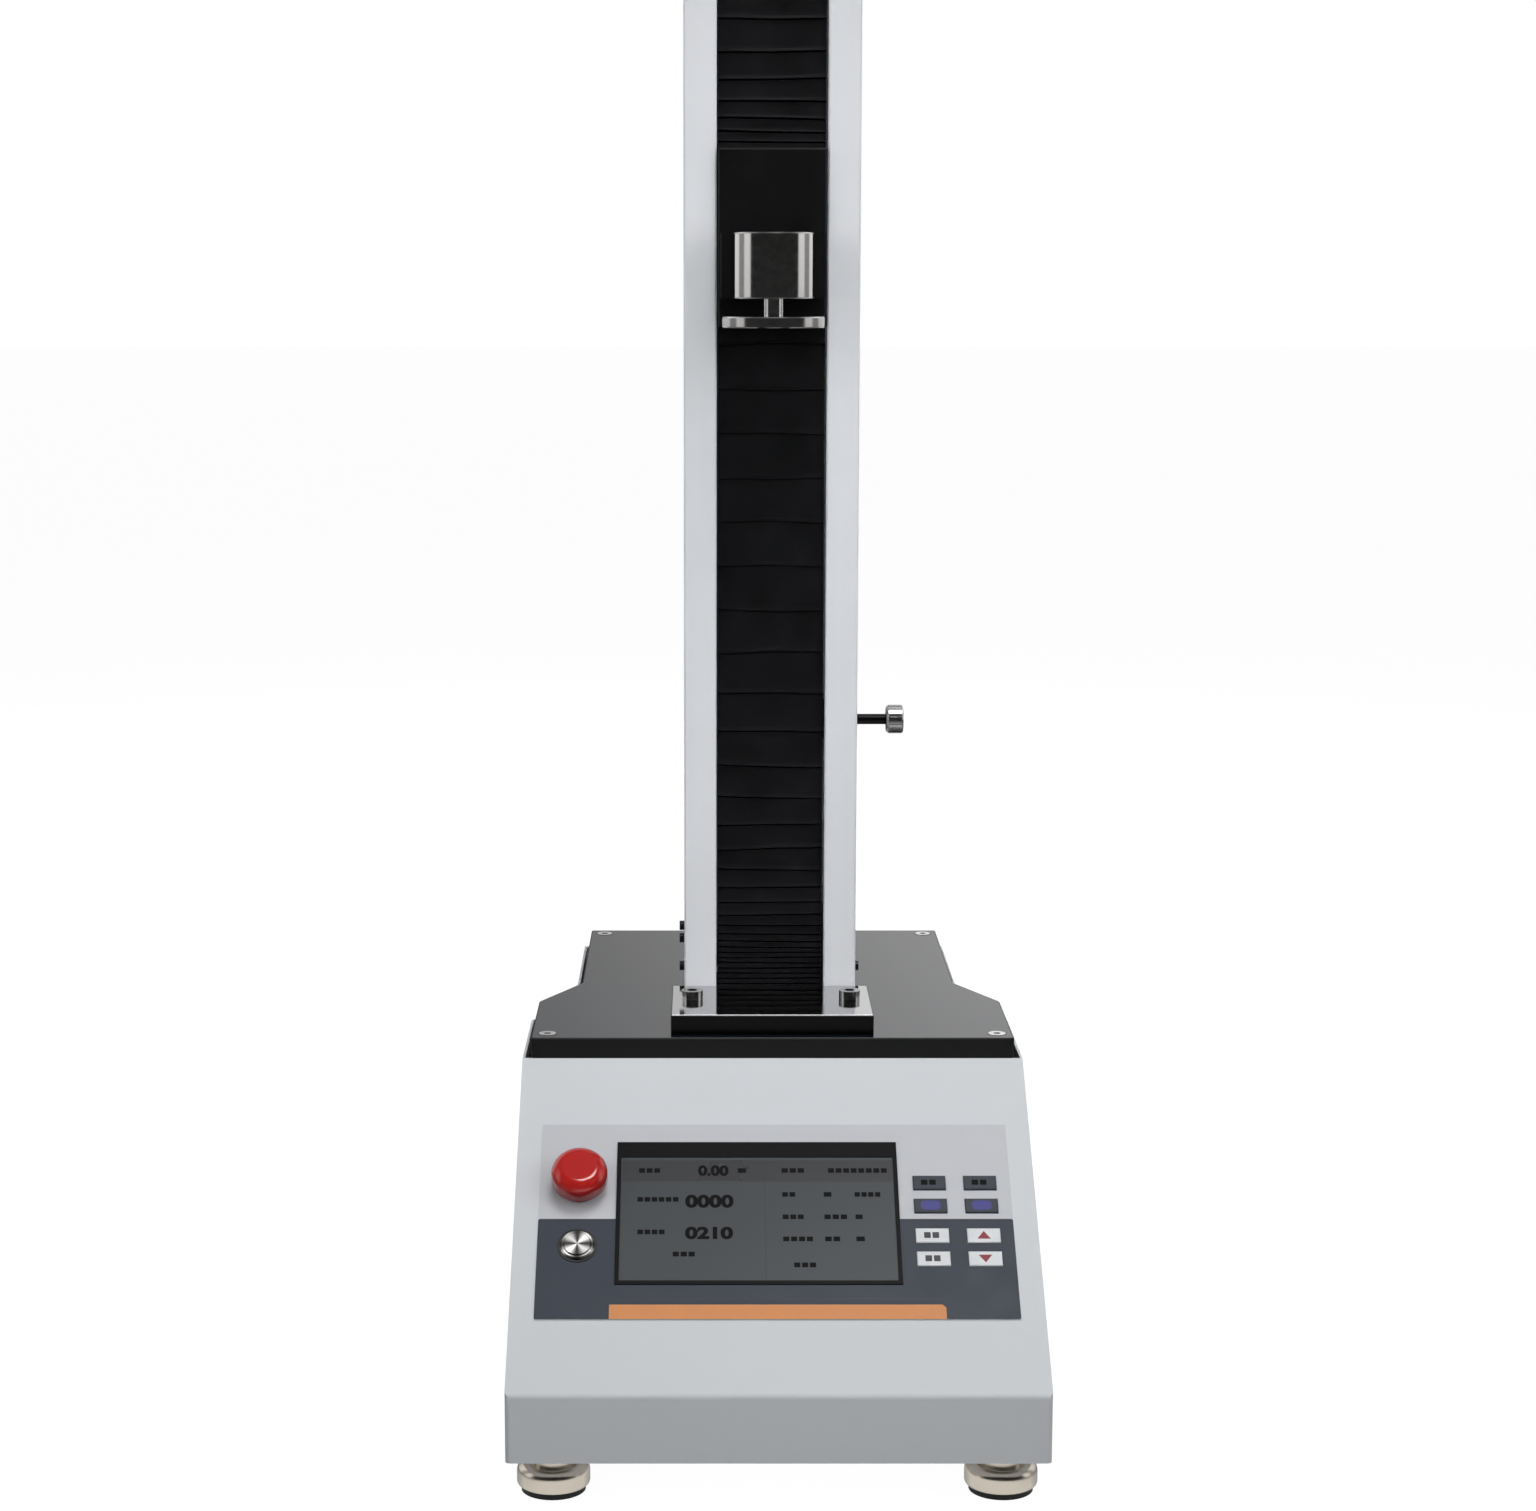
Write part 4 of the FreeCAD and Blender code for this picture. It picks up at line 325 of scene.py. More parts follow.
column_aluminium = speckled("column_aluminium", (0.86, 0.88, 0.915), 0.42, 0.05, spread=0.02, scale=14,
                            grain_scale=420, grain=0.000006, stretch=(14, 14, 1))
coat_nodes(column_aluminium, "column_wall_left", "column_wall_right", "column_back", "top_plate")

black_oxide = speckled("black_oxide", (0.03, 0.03, 0.032), 0.3, 0.7, spread=0.2, scale=200)
coat_nodes(black_oxide, "column_screws", "carriage_screws")

carriage_black = speckled("carriage_black", (0.005, 0.005, 0.006), 0.42, spread=0.2, scale=50,
                          grain_scale=900, grain=0.000006, Specular_IOR_Level=0.3)
coat_nodes(carriage_black, "carriage_plate", "load_arm")

ground = speckled("ground", (0.55, 0.55, 0.56), 0.22, 1.0, stretch=(1, 1, 10), grain_scale=400,
                  grain=0.000004)
coat_nodes(ground, "guide_rails", "guide_blocks", "ball_screw", "screw_bearings")

cell_chrome = speckled("cell_chrome", (0.62, 0.61, 0.60), 0.13, 1.0, spread=0.05, scale=200,
                       rough_spread=0.03, grain_scale=260, grain=0.000004, stretch=(0.2, 0.2, 16))
coat_nodes(cell_chrome, "load_cell", "upper_platen")


ROD_DARK = (0.02, 0.02, 0.022)
KNOB_BRIGHT = (0.62, 0.61, 0.6)


def make_limit_steel():
    """A dark rod that ends in a bright knob."""
    material = plain("limit_steel", KNOB_BRIGHT, 0.26, 1.0)
    along = place_of(material)[0]
    knob = math_node(material, "GREATER_THAN", along, KNOB_START)
    split_color(material, knob, ROD_DARK, KNOB_BRIGHT)
    split_value(material, knob, "Roughness", 0.4, 0.24)
    raise_bump(material, noise(material, 700, (12, 1, 1)), 0.000008)
    return material


coat_nodes(make_limit_steel(), "limit_screw_lower", "limit_screw_upper")
coat_nodes(black_oxide, "limit_nut_lower", "limit_nut_upper")

turned_aluminium = speckled("turned_aluminium", (0.62, 0.63, 0.64), 0.3, 1.0, stretch=(0.2, 0.2, 10))
coat_nodes(turned_aluminium, "screw_pulley", "motor_pulley")
belt_rubber = speckled("belt_rubber", (0.02, 0.02, 0.02), 0.7, spread=0.2, scale=300, grain=0.00004)
coat_nodes(belt_rubber, "timing_belt")
motor_black = speckled("motor_black", (0.02, 0.02, 0.021), 0.42, spread=0.15, stretch=(1, 1, 8),
                       grain=0.00003)
coat_nodes(motor_black, "motor")
supply_case = speckled("supply_case", (0.5, 0.5, 0.52), 0.36, 1.0, stretch=(12, 1, 1))
coat_nodes(supply_case, "power_supply")
driver_case = speckled("driver_case", (0.03, 0.03, 0.032), 0.5)
coat_nodes(driver_case, "motor_driver")
board_green = speckled("board_green", (0.02, 0.16, 0.06), 0.35, spread=0.25, scale=220)
coat_nodes(board_green, "controller_board")

# Materials of the control panel

overlay_film = speckled("overlay_film", (0.565, 0.58, 0.61), 0.36, spread=0.01, grain_scale=2500,
                        grain=0.000006, Specular_IOR_Level=0.35)
coat_nodes(overlay_film, "panel_overlay")
slate_film = speckled("slate_film", (0.037, 0.046, 0.066), 0.42, spread=0.04, grain_scale=2500,
                      grain=0.000006, Specular_IOR_Level=0.3)
orange_film = speckled("orange_film", (0.72, 0.29, 0.10), 0.4, spread=0.03, grain_scale=2500,
                       grain=0.000006, Specular_IOR_Level=0.3)
display_black = speckled("display_black", (0.003, 0.003, 0.004), 0.4, spread=0.2, rough_spread=0.03,
                         grain=0.000004, Specular_IOR_Level=0.12)
coat_nodes(display_black, "display_frame")
display_screen = speckled("display_screen", (0.058, 0.065, 0.071), 0.3, spread=0.02, scale=8,
                          rough_spread=0.02, grain_scale=3000, grain=0.000003, Specular_IOR_Level=0.3)
coat_nodes(display_screen, "display_glass")
screen_ink = speckled("screen_ink", (0.004, 0.004, 0.005), 0.5, grain=0.000002, Specular_IOR_Level=0.1)
screen_band = speckled("screen_band", (0.044, 0.045, 0.049), 0.3, spread=0.02, scale=8, grain=0.000002,
                       Specular_IOR_Level=0.3)
screen_line = speckled("screen_line", (0.03, 0.032, 0.035), 0.4, grain=0.000002)

key_dark = speckled("key_dark", (0.042, 0.048, 0.064), 0.42, grain_scale=2500, grain=0.000008,
                    Specular_IOR_Level=0.3)
key_white = speckled("key_white", (0.74, 0.76, 0.78), 0.4, grain_scale=2500, grain=0.000008)
key_blue = speckled("key_blue", (0.03, 0.035, 0.24), 0.4, grain=0.000004)
key_red = speckled("key_red", (0.26, 0.012, 0.025), 0.4, grain=0.000004)
ROWS = ("first", "second", "third", "fourth")
COLUMNS = ("left", "right")
for row in ROWS:
    for column in COLUMNS:
        coat_nodes(key_dark if row in ROWS[:2] else key_white, "key_%s_%s" % (row, column))

stop_grey = speckled("stop_grey", (0.03, 0.03, 0.032), 0.4)
coat_nodes(stop_grey, "stop_housing", "stop_stem")

SHADED_SKIRT_RED = (0.28, 0.005, 0.006)
LIT_TOP_RED = (0.50, 0.012, 0.010)
RED_INSET = 3


def make_stop_red():
    """Glossy red plastic, with painted shade: its skirt is painted a deeper red than its lit top."""
    material = plain("stop_red", LIT_TOP_RED, 0.18, Coat_Weight=0.5, Coat_Roughness=0.08)
    low, high = slope_box("stop_head")
    rise = node(material, "VectorMath", operation="DOT_PRODUCT")
    join(material, node(material, "TexCoord").outputs["Object"], rise.inputs[0])
    rise.inputs[1].default_value = SLOPE_OUT
    # Painted shade: the red darkens from the top down over the skirt.
    mask = node(material, "MapRange")
    foot = SLOPE_FOOT.dot(SLOPE_OUT)
    mask.inputs["From Min"].default_value = foot + (low.z + RED_INSET) * MM
    mask.inputs["From Max"].default_value = foot + (high.z - RED_INSET) * MM
    join(material, rise.outputs["Value"], mask.inputs["Value"])
    split_color(material, mask.outputs["Result"], SHADED_SKIRT_RED, LIT_TOP_RED)
    raise_bump(material, noise(material, 700), 0.00002)
    return material


coat_nodes(make_stop_red(), "stop_head")

PAINTED_GLINT_DARK = (0.05, 0.048, 0.045)
PAINTED_GLINT_BRIGHT = (0.9, 0.89, 0.87)
PAINTED_GLINT_SHARPNESS = 2.4
GASKET = (0.006, 0.006, 0.007)
RING_RATE = 900


def make_button_metal():
    """Turned steel over a black gasket. A painted highlight makes it shine in four sectors, and fine rings
    run about its axis.
    """
    material = plain("button_metal", (0.62, 0.61, 0.59), 0.3, 1.0, Anisotropic=0.3)
    middle = slope_middle("power_cap")
    coordinates = node(material, "TexCoord")
    apart = node(material, "VectorMath", operation="SUBTRACT")
    join(material, coordinates.outputs["Object"], apart.inputs[0])
    apart.inputs[1].default_value = on_slope(middle.x, middle.y, 0)
    around = node(material, "VectorMath", operation="CROSS_PRODUCT")
    around.inputs[0].default_value = SLOPE_OUT
    join(material, apart.outputs[0], around.inputs[1])
    straight = node(material, "VectorMath", operation="NORMALIZE")
    join(material, around.outputs[0], straight.inputs[0])
    join(material, straight.outputs[0], shader_of(material).inputs["Tangent"])
    radius = node(material, "VectorMath", operation="LENGTH")
    join(material, around.outputs[0], radius.inputs[0])
    metal = math_node(material, "LESS_THAN", radius.outputs["Value"], BEZEL_RADIUS)
    split_value(material, metal, "Metallic", 0.0, 1.0)
    # Painted highlight: base colour bright in four diagonal sectors and dark between them.
    painted_glint = node(material, "Mix", data_type="RGBA")
    painted_glint.inputs[6].default_value = (*PAINTED_GLINT_DARK, 1)
    painted_glint.inputs[7].default_value = (*PAINTED_GLINT_BRIGHT, 1)
    turned = node(material, "SeparateXYZ")
    join(material, straight.outputs[0], turned.inputs[0])
    upward = node(material, "VectorMath", operation="DOT_PRODUCT")
    join(material, straight.outputs[0], upward.inputs[0])
    upward.inputs[1].default_value = SLOPE_UP
    both = math_node(material, "MULTIPLY", turned.outputs[0], upward.outputs["Value"])
    glint_lobes = math_node(material, "ABSOLUTE", math_node(material, "MULTIPLY", both, 2))
    join(material, math_node(material, "POWER", glint_lobes, PAINTED_GLINT_SHARPNESS), painted_glint.inputs[0])
    split_color(material, metal, GASKET, painted_glint.outputs[2])
    rings = node(material, "TexWave", wave_type="RINGS", Scale=1.0, Distortion=0.0)
    squeezed = math_node(material, "MULTIPLY", radius.outputs["Value"], RING_RATE)
    combined = node(material, "CombineXYZ")
    join(material, squeezed, combined.inputs[0])
    join(material, combined.outputs[0], rings.inputs["Vector"])
    raise_bump(material, rings.outputs["Fac"], 0.000002)
    return material


coat_nodes(make_button_metal(), "power_cap", "power_bezel")
inlet_black = speckled("inlet_black", (0.015, 0.015, 0.016), 0.45, grain=0.00003)
coat_nodes(inlet_black, "mains_inlet", "power_rocker")

# Functions for pieces


def new_piece(name, mesh, material, body):
    """An object from a bmesh, riding on a body."""
    data = bpy.data.meshes.new(name)
    bmesh.ops.recalc_face_normals(mesh, faces=mesh.faces)
    mesh.to_mesh(data)
    mesh.free()
    made = bpy.data.objects.new(name, data)
    bpy.context.scene.collection.objects.link(made)
    data.materials.append(material)
    if body:
        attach(made, body)
    return made


def rounded(left, right, low, high, radius, steps=5):
    """A rectangle's outline with round corners, in millimetres."""
    points = []
    centres = ((right - radius, high - radius, 0), (left + radius, high - radius, 90),
               (left + radius, low + radius, 180), (right - radius, low + radius, 270))
    for x, y, start in centres:
        for step in range(steps + 1):
            angle = math.radians(start + 90 * step / steps)
            points.append((x + radius * math.cos(angle), y + radius * math.sin(angle)))
    return points


def add_flat(mesh, outline, low, high, shape=on_slope):
    """A thin closed plate on the panel, its outline in millimetres."""
    under = [mesh.verts.new(shape(x, up, low)) for x, up in outline]
    over = [mesh.verts.new(shape(x, up, high)) for x, up in outline]
    mesh.faces.new(over)
    mesh.faces.new(list(reversed(under)))
    count = len(outline)
    for i in range(count):
        j = (i + 1) % count
        mesh.faces.new((under[i], under[j], over[j], over[i]))


def flat_piece(name, outlines, low, high, material, body="root"):
    mesh = bmesh.new()
    for outline in outlines:
        add_flat(mesh, outline, low, high)
    return new_piece(name, mesh, material, body)


# Print on the panel

INK = 0.05
FILM = FILM_HIGH.z
SLATE_TALL = 68.1
STRIPE_LEFT, STRIPE_RIGHT = -94, 94.5
STRIPE_LOW, STRIPE_TALL = FILM_LOW.y + 0.2, 9.6
STRIPE_CUT = 2
STRIPE_HIGH = STRIPE_LOW + STRIPE_TALL
RULE_LOW, RULE_TALL = FILM_LOW.y + 13.7, 0.6
SLATE_INSET = 0.1
SLATE_CORNER = 1.2


def oblong(left, right, low, high):
    return [(left, low), (right, low), (right, high), (left, high)]


slate = rounded(FILM_LOW.x + SLATE_INSET, FILM_HIGH.x - SLATE_INSET, FILM_LOW.y + SLATE_INSET,
                FILM_LOW.y + SLATE_TALL, SLATE_CORNER)
flat_piece("panel_slate", [slate], FILM - INK, FILM + INK, slate_film)
stripe = oblong(STRIPE_LEFT, STRIPE_RIGHT, STRIPE_LOW, STRIPE_HIGH)
stripe[2:3] = [(STRIPE_RIGHT, STRIPE_HIGH - STRIPE_CUT), (STRIPE_RIGHT - STRIPE_CUT, STRIPE_HIGH)]
flat_piece("panel_orange", [stripe], FILM, FILM + 2 * INK, orange_film)
rule = oblong(STRIPE_LEFT, STRIPE_RIGHT, RULE_LOW, RULE_LOW + RULE_TALL)
flat_piece("panel_rule", [rule], FILM, FILM + 2 * INK, screen_line)

# What the screen shows: plain numbers, rules, and bars where words were

SCREEN = SCREEN_HIGH.z
MARK = 0.08
HEADER_LOW, HEADER_HIGH = 143.6, 158.6
BAND_LEFT, BAND_RIGHT = SCREEN_LOW.x + 0.6, SCREEN_HIGH.x - 0.3
RULE = 0.3
DIVIDER = -5.9
LEFT_LABELS = ((-79.3, 130.8, 24.5), (-79, 108.1, 16.4), (-58.7, 92.9, 13.5))
HEADER_LABELS = ((-78.7, 13.2), (-21.5, 6.3), (4, 14), (31, 35))
RIGHT_COLUMNS = (4.1, 28, 45.8)
RIGHT_ROWS = ((134.3, (8.4, 5.7, 15.7)), (118.6, (13, 14, 5.3)), (103.3, (18, 9.6, 6.2)))
LAST_LABEL = (10, 85.5, 13.4)


def bars(x, up, width, height=3.2, pitch=4.4, filled=0.78, corner=0.3):
    """A short row of small blocks in the place of a word."""
    count = max(1, round(width / pitch))
    step = width / count
    return [rounded(x + i * step, x + (i + filled) * step, up - height / 2, up + height / 2, corner, 2)
            for i in range(count)]


DIGIT_DEPTH = 0.5
DIGIT_WEIGHT = 0.045


def numbers(name, text, left, width, low, height):
    """Plain digits that lie on the screen, stretched to a width and a height in millimetres."""
    curve = bpy.data.curves.new(name + "_curve", "FONT")
    curve.body = text
    curve.extrude = DIGIT_DEPTH
    curve.offset = DIGIT_WEIGHT
    flat = bpy.data.objects.new(name + "_flat", curve)
    bpy.context.scene.collection.objects.link(flat)
    bpy.context.view_layer.update()
    data = bpy.data.meshes.new_from_object(flat.evaluated_get(bpy.context.evaluated_depsgraph_get()))
    bpy.data.objects.remove(flat)
    across = [vertex.co.x for vertex in data.vertices]
    upward = [vertex.co.y for vertex in data.vertices]
    wide = width / (max(across) - min(across))
    tall = height / (max(upward) - min(upward))
    for vertex in data.vertices:
        x = left + (vertex.co.x - min(across)) * wide
        up = low + (vertex.co.y - min(upward)) * tall
        vertex.co = on_slope(x, up, SCREEN + MARK if vertex.co.z > 0 else SCREEN)
    data.name = name
    data.materials.append(screen_ink)
    made = bpy.data.objects.new(name, data)
    bpy.context.scene.collection.objects.link(made)
    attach(made, "root")


header = oblong(BAND_LEFT, BAND_RIGHT, HEADER_LOW, HEADER_HIGH)
flat_piece("screen_header", [header], SCREEN, SCREEN + MARK / 2, screen_band)
upright = oblong(DIVIDER - RULE, DIVIDER + RULE, SCREEN_LOW.y + 0.5, HEADER_LOW)
under_header = oblong(BAND_LEFT, BAND_RIGHT, HEADER_LOW - RULE, HEADER_LOW + RULE)
flat_piece("screen_divider", [upright, under_header], SCREEN, SCREEN + MARK, screen_line)
labels = []
for left, up, width in LEFT_LABELS:
    labels += bars(left, up, width)
for left, width in HEADER_LABELS:
    labels += bars(left, (HEADER_LOW + HEADER_HIGH) / 2 + 0.2, width)
for up, widths in RIGHT_ROWS:
    for left, width in zip(RIGHT_COLUMNS, widths):
        labels += bars(left, up, width)
labels += bars(*LAST_LABEL)
flat_piece("screen_labels", labels, SCREEN + MARK / 2, SCREEN + MARK, screen_ink)
numbers("screen_force", "0.00", left=-44.4, width=17.6, low=147.4, height=7.6)
numbers("screen_count_upper", "0000", left=-51.8, width=27.8, low=124.9, height=9.2)
numbers("screen_count_lower", "0210", left=-51.8, width=27.4, low=103.1, height=8.6)

# Marks on the keys

WORD_HALF = 4.8
LOZENGE_HALF, LOZENGE_UP, LOZENGE_CORNER = 5.6, 3.2, 2.4
ARROW_HALF, ARROW_FOOT, ARROW_TIP = 3.8, 2.4, 2.8

for row in ROWS:
    for column in COLUMNS:
        name = "key_%s_%s" % (row, column)
        x, up, _ = slope_middle(name)
        face = slope_box(name)[1].z
        if row == "first":
            marks = bars(x - WORD_HALF, up, 2 * WORD_HALF, height=3.6, pitch=WORD_HALF)
            material = screen_ink
        elif row == "second":
            sides = x - LOZENGE_HALF, x + LOZENGE_HALF
            marks = [rounded(*sides, up - LOZENGE_UP, up + LOZENGE_UP, LOZENGE_CORNER)]
            material = key_blue
        elif column == "left":
            marks = bars(x - WORD_HALF, up, 2 * WORD_HALF, height=4, pitch=WORD_HALF)
            material = screen_line
        else:
            way = 1 if row == "third" else -1
            foot, tip = up - ARROW_FOOT * way, up + ARROW_TIP * way
            marks = [[(x - ARROW_HALF, foot), (x + ARROW_HALF, foot), (x, tip)]]
            material = key_red
        flat_piece(name + "_mark", marks, face - MARK / 2, face + MARK, material, name)

# Bellows: pleated cloth strips, each in sections that share out the carriage's travel

bellows_cloth = speckled("bellows_cloth", (0.0150, 0.0150, 0.0180), 0.55, spread=0.25, scale=40,
                         grain_scale=1500, grain=0.00006, rough_spread=0.08, Specular_IOR_Level=0.22)
CLOTH_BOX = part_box("bellows_lower")
CLOTH_FRONT = CLOTH_BOX[0].y + 0.4 * MM
CLOTH_EDGE = CLOTH_BOX[1].x
CLOTH_THICKNESS = 0.4 * MM
CLOTH_COLUMNS = 24
CLOTH_MIDDLE_OUT = 0.1
CLOTH_EDGE_BACK = 1.2
PLEAT_CLOTH = 27.5
PLEAT_DEEPEST = 10.8
PANEL_DEPTH = 1.8
RIDGE_DEPTH = 1.1
RIDGE = ((0.3, 0.06), (0.8, 0.3), (1.7, 0.75), (3.6, RIDGE_DEPTH))
FULL_SPACING = 12
FLAT_SPACING = 10.5
PANEL_MIDDLE = 0.6
PANEL_END = 1.1
TUCK_LOW, TUCK_HIGH = 0.95, 0.45
LIP, LIP_END = 0.3, 0.12
LIP_DEPTH = 0.25
LOOSE_SPACING = 25
FOLD_BOW, FOLD_TILT = 0.9, 1.1
TIGHTEST = 3.3
STACK_FOLDS = 14
SHARES = (0, 0.03, 0.09, 0.18, 0.32, 0.5, 0.68, 0.82, 0.91, 0.97, 1)
draws = random.Random(11)


def folds(start, end, crowd, reach, tightest, widest, power):
    """Heights of the folds. They crowd at first, and then drift apart over a reach, all in millimetres."""
    way = 1 if end > start else -1
    levels = []
    gone = 0.0
    while gone < abs(end - start) / MM - widest:
        share = min(max((gone - crowd) / reach, 0.0), 1.0)
        gone += tightest + (widest - tightest) * (1 - (1 - share) ** power)
        levels.append(start + way * gone * MM)
    return levels


def pleat(spacing):
    """One pleat from its fold up to the next: heights above the fold and depths behind the front.

    A rounded ridge, a panel that leans back, and the slack cloth tucked in under the upper fold."""
    flank = min(1.0, spacing / FULL_SPACING)
    relief = flank * min(1.0, FLAT_SPACING / max(spacing - FULL_SPACING, 0.1))
    panel = PANEL_DEPTH * relief
    tuck = min(PLEAT_DEEPEST, PANEL_DEPTH + max(0.0, PLEAT_CLOTH - spacing) / 2)
    ridge = tuple((height * flank, depth * relief) for height, depth in RIDGE)
    middle = (PANEL_MIDDLE * spacing, 0.5 * (RIDGE_DEPTH * relief + panel))
    slack = ((spacing - PANEL_END, panel), (spacing - TUCK_LOW, tuck), (spacing - TUCK_HIGH, tuck))
    return ridge + (middle,) + slack + ((spacing - LIP, panel), (spacing - LIP_END, LIP_DEPTH * relief))


def pleat_rows(ends, levels):
    """Rows of the cloth as height, depth, bow and tilt, and the heights of its folds."""
    levels = [ends[0]] + sorted(levels) + [ends[1]]
    lines = [(0.0, 0.0)]
    for low, high in zip(levels, levels[1:-1]):
        loose = min(1.0, (high - low) / (LOOSE_SPACING * MM))
        bow = draws.uniform(-FOLD_BOW, FOLD_BOW) * loose
        lines.append((bow, draws.uniform(-FOLD_TILT, FOLD_TILT) * min(1.0, 3 * loose)))
    lines.append((0.0, 0.0))
    rows = []
    for (low, high), (first, second) in zip(zip(levels, levels[1:]), zip(lines, lines[1:])):
        rows.append((low, 0.0, *first))
        for height, depth in pleat((high - low) / MM):
            share = height * MM / (high - low)
            rows.append((low + height * MM, depth, *(a + (b - a) * share for a, b in zip(first, second))))
    rows.append((levels[-1], 0.0, 0.0, 0.0))
    return rows, levels


def cloth_point(row, x_share):
    level, depth, bow, tilt = row
    edge = CLOTH_EDGE_BACK * abs(x_share) ** 8
    y = CLOTH_FRONT + (depth * (1 - CLOTH_MIDDLE_OUT * x_share ** 2) + edge) * MM
    rise = bow * math.cos(math.pi * x_share / 2) ** 2 + tilt * x_share
    return Vector((CLOTH_EDGE * x_share, y, level + rise * MM))


def make_bellows(name, fixed, moving, levels):
    """Sections from the end that stays to the end that moves with the carriage. They meet at folds."""
    rows, levels = pleat_rows(sorted((fixed, moving)), levels)
    across = [2 * i / CLOTH_COLUMNS - 1 for i in range(CLOTH_COLUMNS + 1)]
    wanted = [fixed + (moving - fixed) * share for share in SHARES]
    cuts = [min(levels, key=lambda level: abs(level - place)) for place in wanted]
    for number, (first, second) in enumerate(zip(cuts, cuts[1:]), start=1):
        low, high = sorted((first, second))
        section = [row for row in rows if low <= row[0] <= high]
        mesh = bmesh.new()
        grid = [[mesh.verts.new(cloth_point(row, x_share)) for x_share in across] for row in section]
        for below, above in zip(grid, grid[1:]):
            for i in range(CLOTH_COLUMNS):
                mesh.faces.new((below[i], below[i + 1], above[i + 1], above[i]))
        bmesh.ops.solidify(mesh, geom=list(mesh.faces), thickness=CLOTH_THICKNESS)
        piece = new_piece("%s_cloth_%02d" % (name, number), mesh, bellows_cloth, None)
        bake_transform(piece)
        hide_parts(name)


lower_folds = folds(TABLE_TOP, CARRIAGE_LOW, crowd=34, reach=220, tightest=TIGHTEST, widest=27, power=2.0)
upper_stack = [COLUMN_TOP - count * TIGHTEST * MM for count in range(1, STACK_FOLDS + 1)]
upper_folds = folds(CARRIAGE_HIGH, upper_stack[-1], crowd=0, reach=140, tightest=4.5, widest=26, power=2.2)
make_bellows("bellows_lower", TABLE_TOP, CARRIAGE_LOW, lower_folds)
make_bellows("bellows_upper", COLUMN_TOP, CARRIAGE_HIGH, upper_folds + upper_stack)

# Floor, light and camera

FLOOR_REACH = 30.0
FLOOR_GLOW = 1.9
FLOOR_GLOW_SEEN = 0.5
PATCH_GLOW = 0.40
PATCH_HALF, PATCH_FADE = 0.15, 0.24
PATCH_FRONT = -0.6


def make_floor():
    """White to the camera. A patch of it under the machine also glows in polished metal."""
    mesh = bmesh.new()
    outline = oblong(-FLOOR_REACH, FLOOR_REACH, -FLOOR_REACH, FLOOR_REACH)
    corners = [mesh.verts.new((x, y, 0)) for x, y in outline]
    mesh.faces.new(corners)
    data = bpy.data.meshes.new("floor")
    mesh.to_mesh(data)
    mesh.free()
    floor = bpy.data.objects.new("floor", data)
    bpy.context.scene.collection.objects.link(floor)
    material = plain("floor_white", (0.26, 0.26, 0.26), 0.9)
    light = node(material, "Emission", Color=(1, 1, 1, 1), Strength=FLOOR_GLOW)
    rays = node(material, "LightPath")
    across, along = place_of(material)[:2]
    near = math_node(material, "GREATER_THAN", along, PATCH_FRONT)
    patch = node(material, "MapRange")
    patch.inputs["From Min"].default_value = PATCH_HALF
    patch.inputs["From Max"].default_value = PATCH_FADE
    patch.inputs["To Min"].default_value = PATCH_GLOW
    patch.inputs["To Max"].default_value = 0.0
    join(material, math_node(material, "ABSOLUTE", across), patch.inputs["Value"])
    glow = math_node(material, "MULTIPLY", rays.outputs["Is Glossy Ray"], patch.outputs["Result"])
    glow = math_node(material, "MULTIPLY", glow, near)
    seen = math_node(material, "MULTIPLY", rays.outputs["Is Camera Ray"], FLOOR_GLOW_SEEN)
    share = math_node(material, "MAXIMUM", seen, glow)
    mix = node(material, "MixShader")
    join(material, share, mix.inputs[0])
    join(material, shader_of(material).outputs[0], mix.inputs[1])
    join(material, light.outputs[0], mix.inputs[2])
    join(material, mix.outputs[0], material.node_tree.nodes["Material Output"].inputs["Surface"])
    data.materials.append(material)


AMBIENT = 0.09
PANEL_TURN = 0.035
DARK = 0.02
DIM = 0.35
ROOM = ((0.33, DARK), (0.36, 1.0), (0.53, 1.0), (0.56, DIM), (0.72, DIM), (0.76, 1.0))


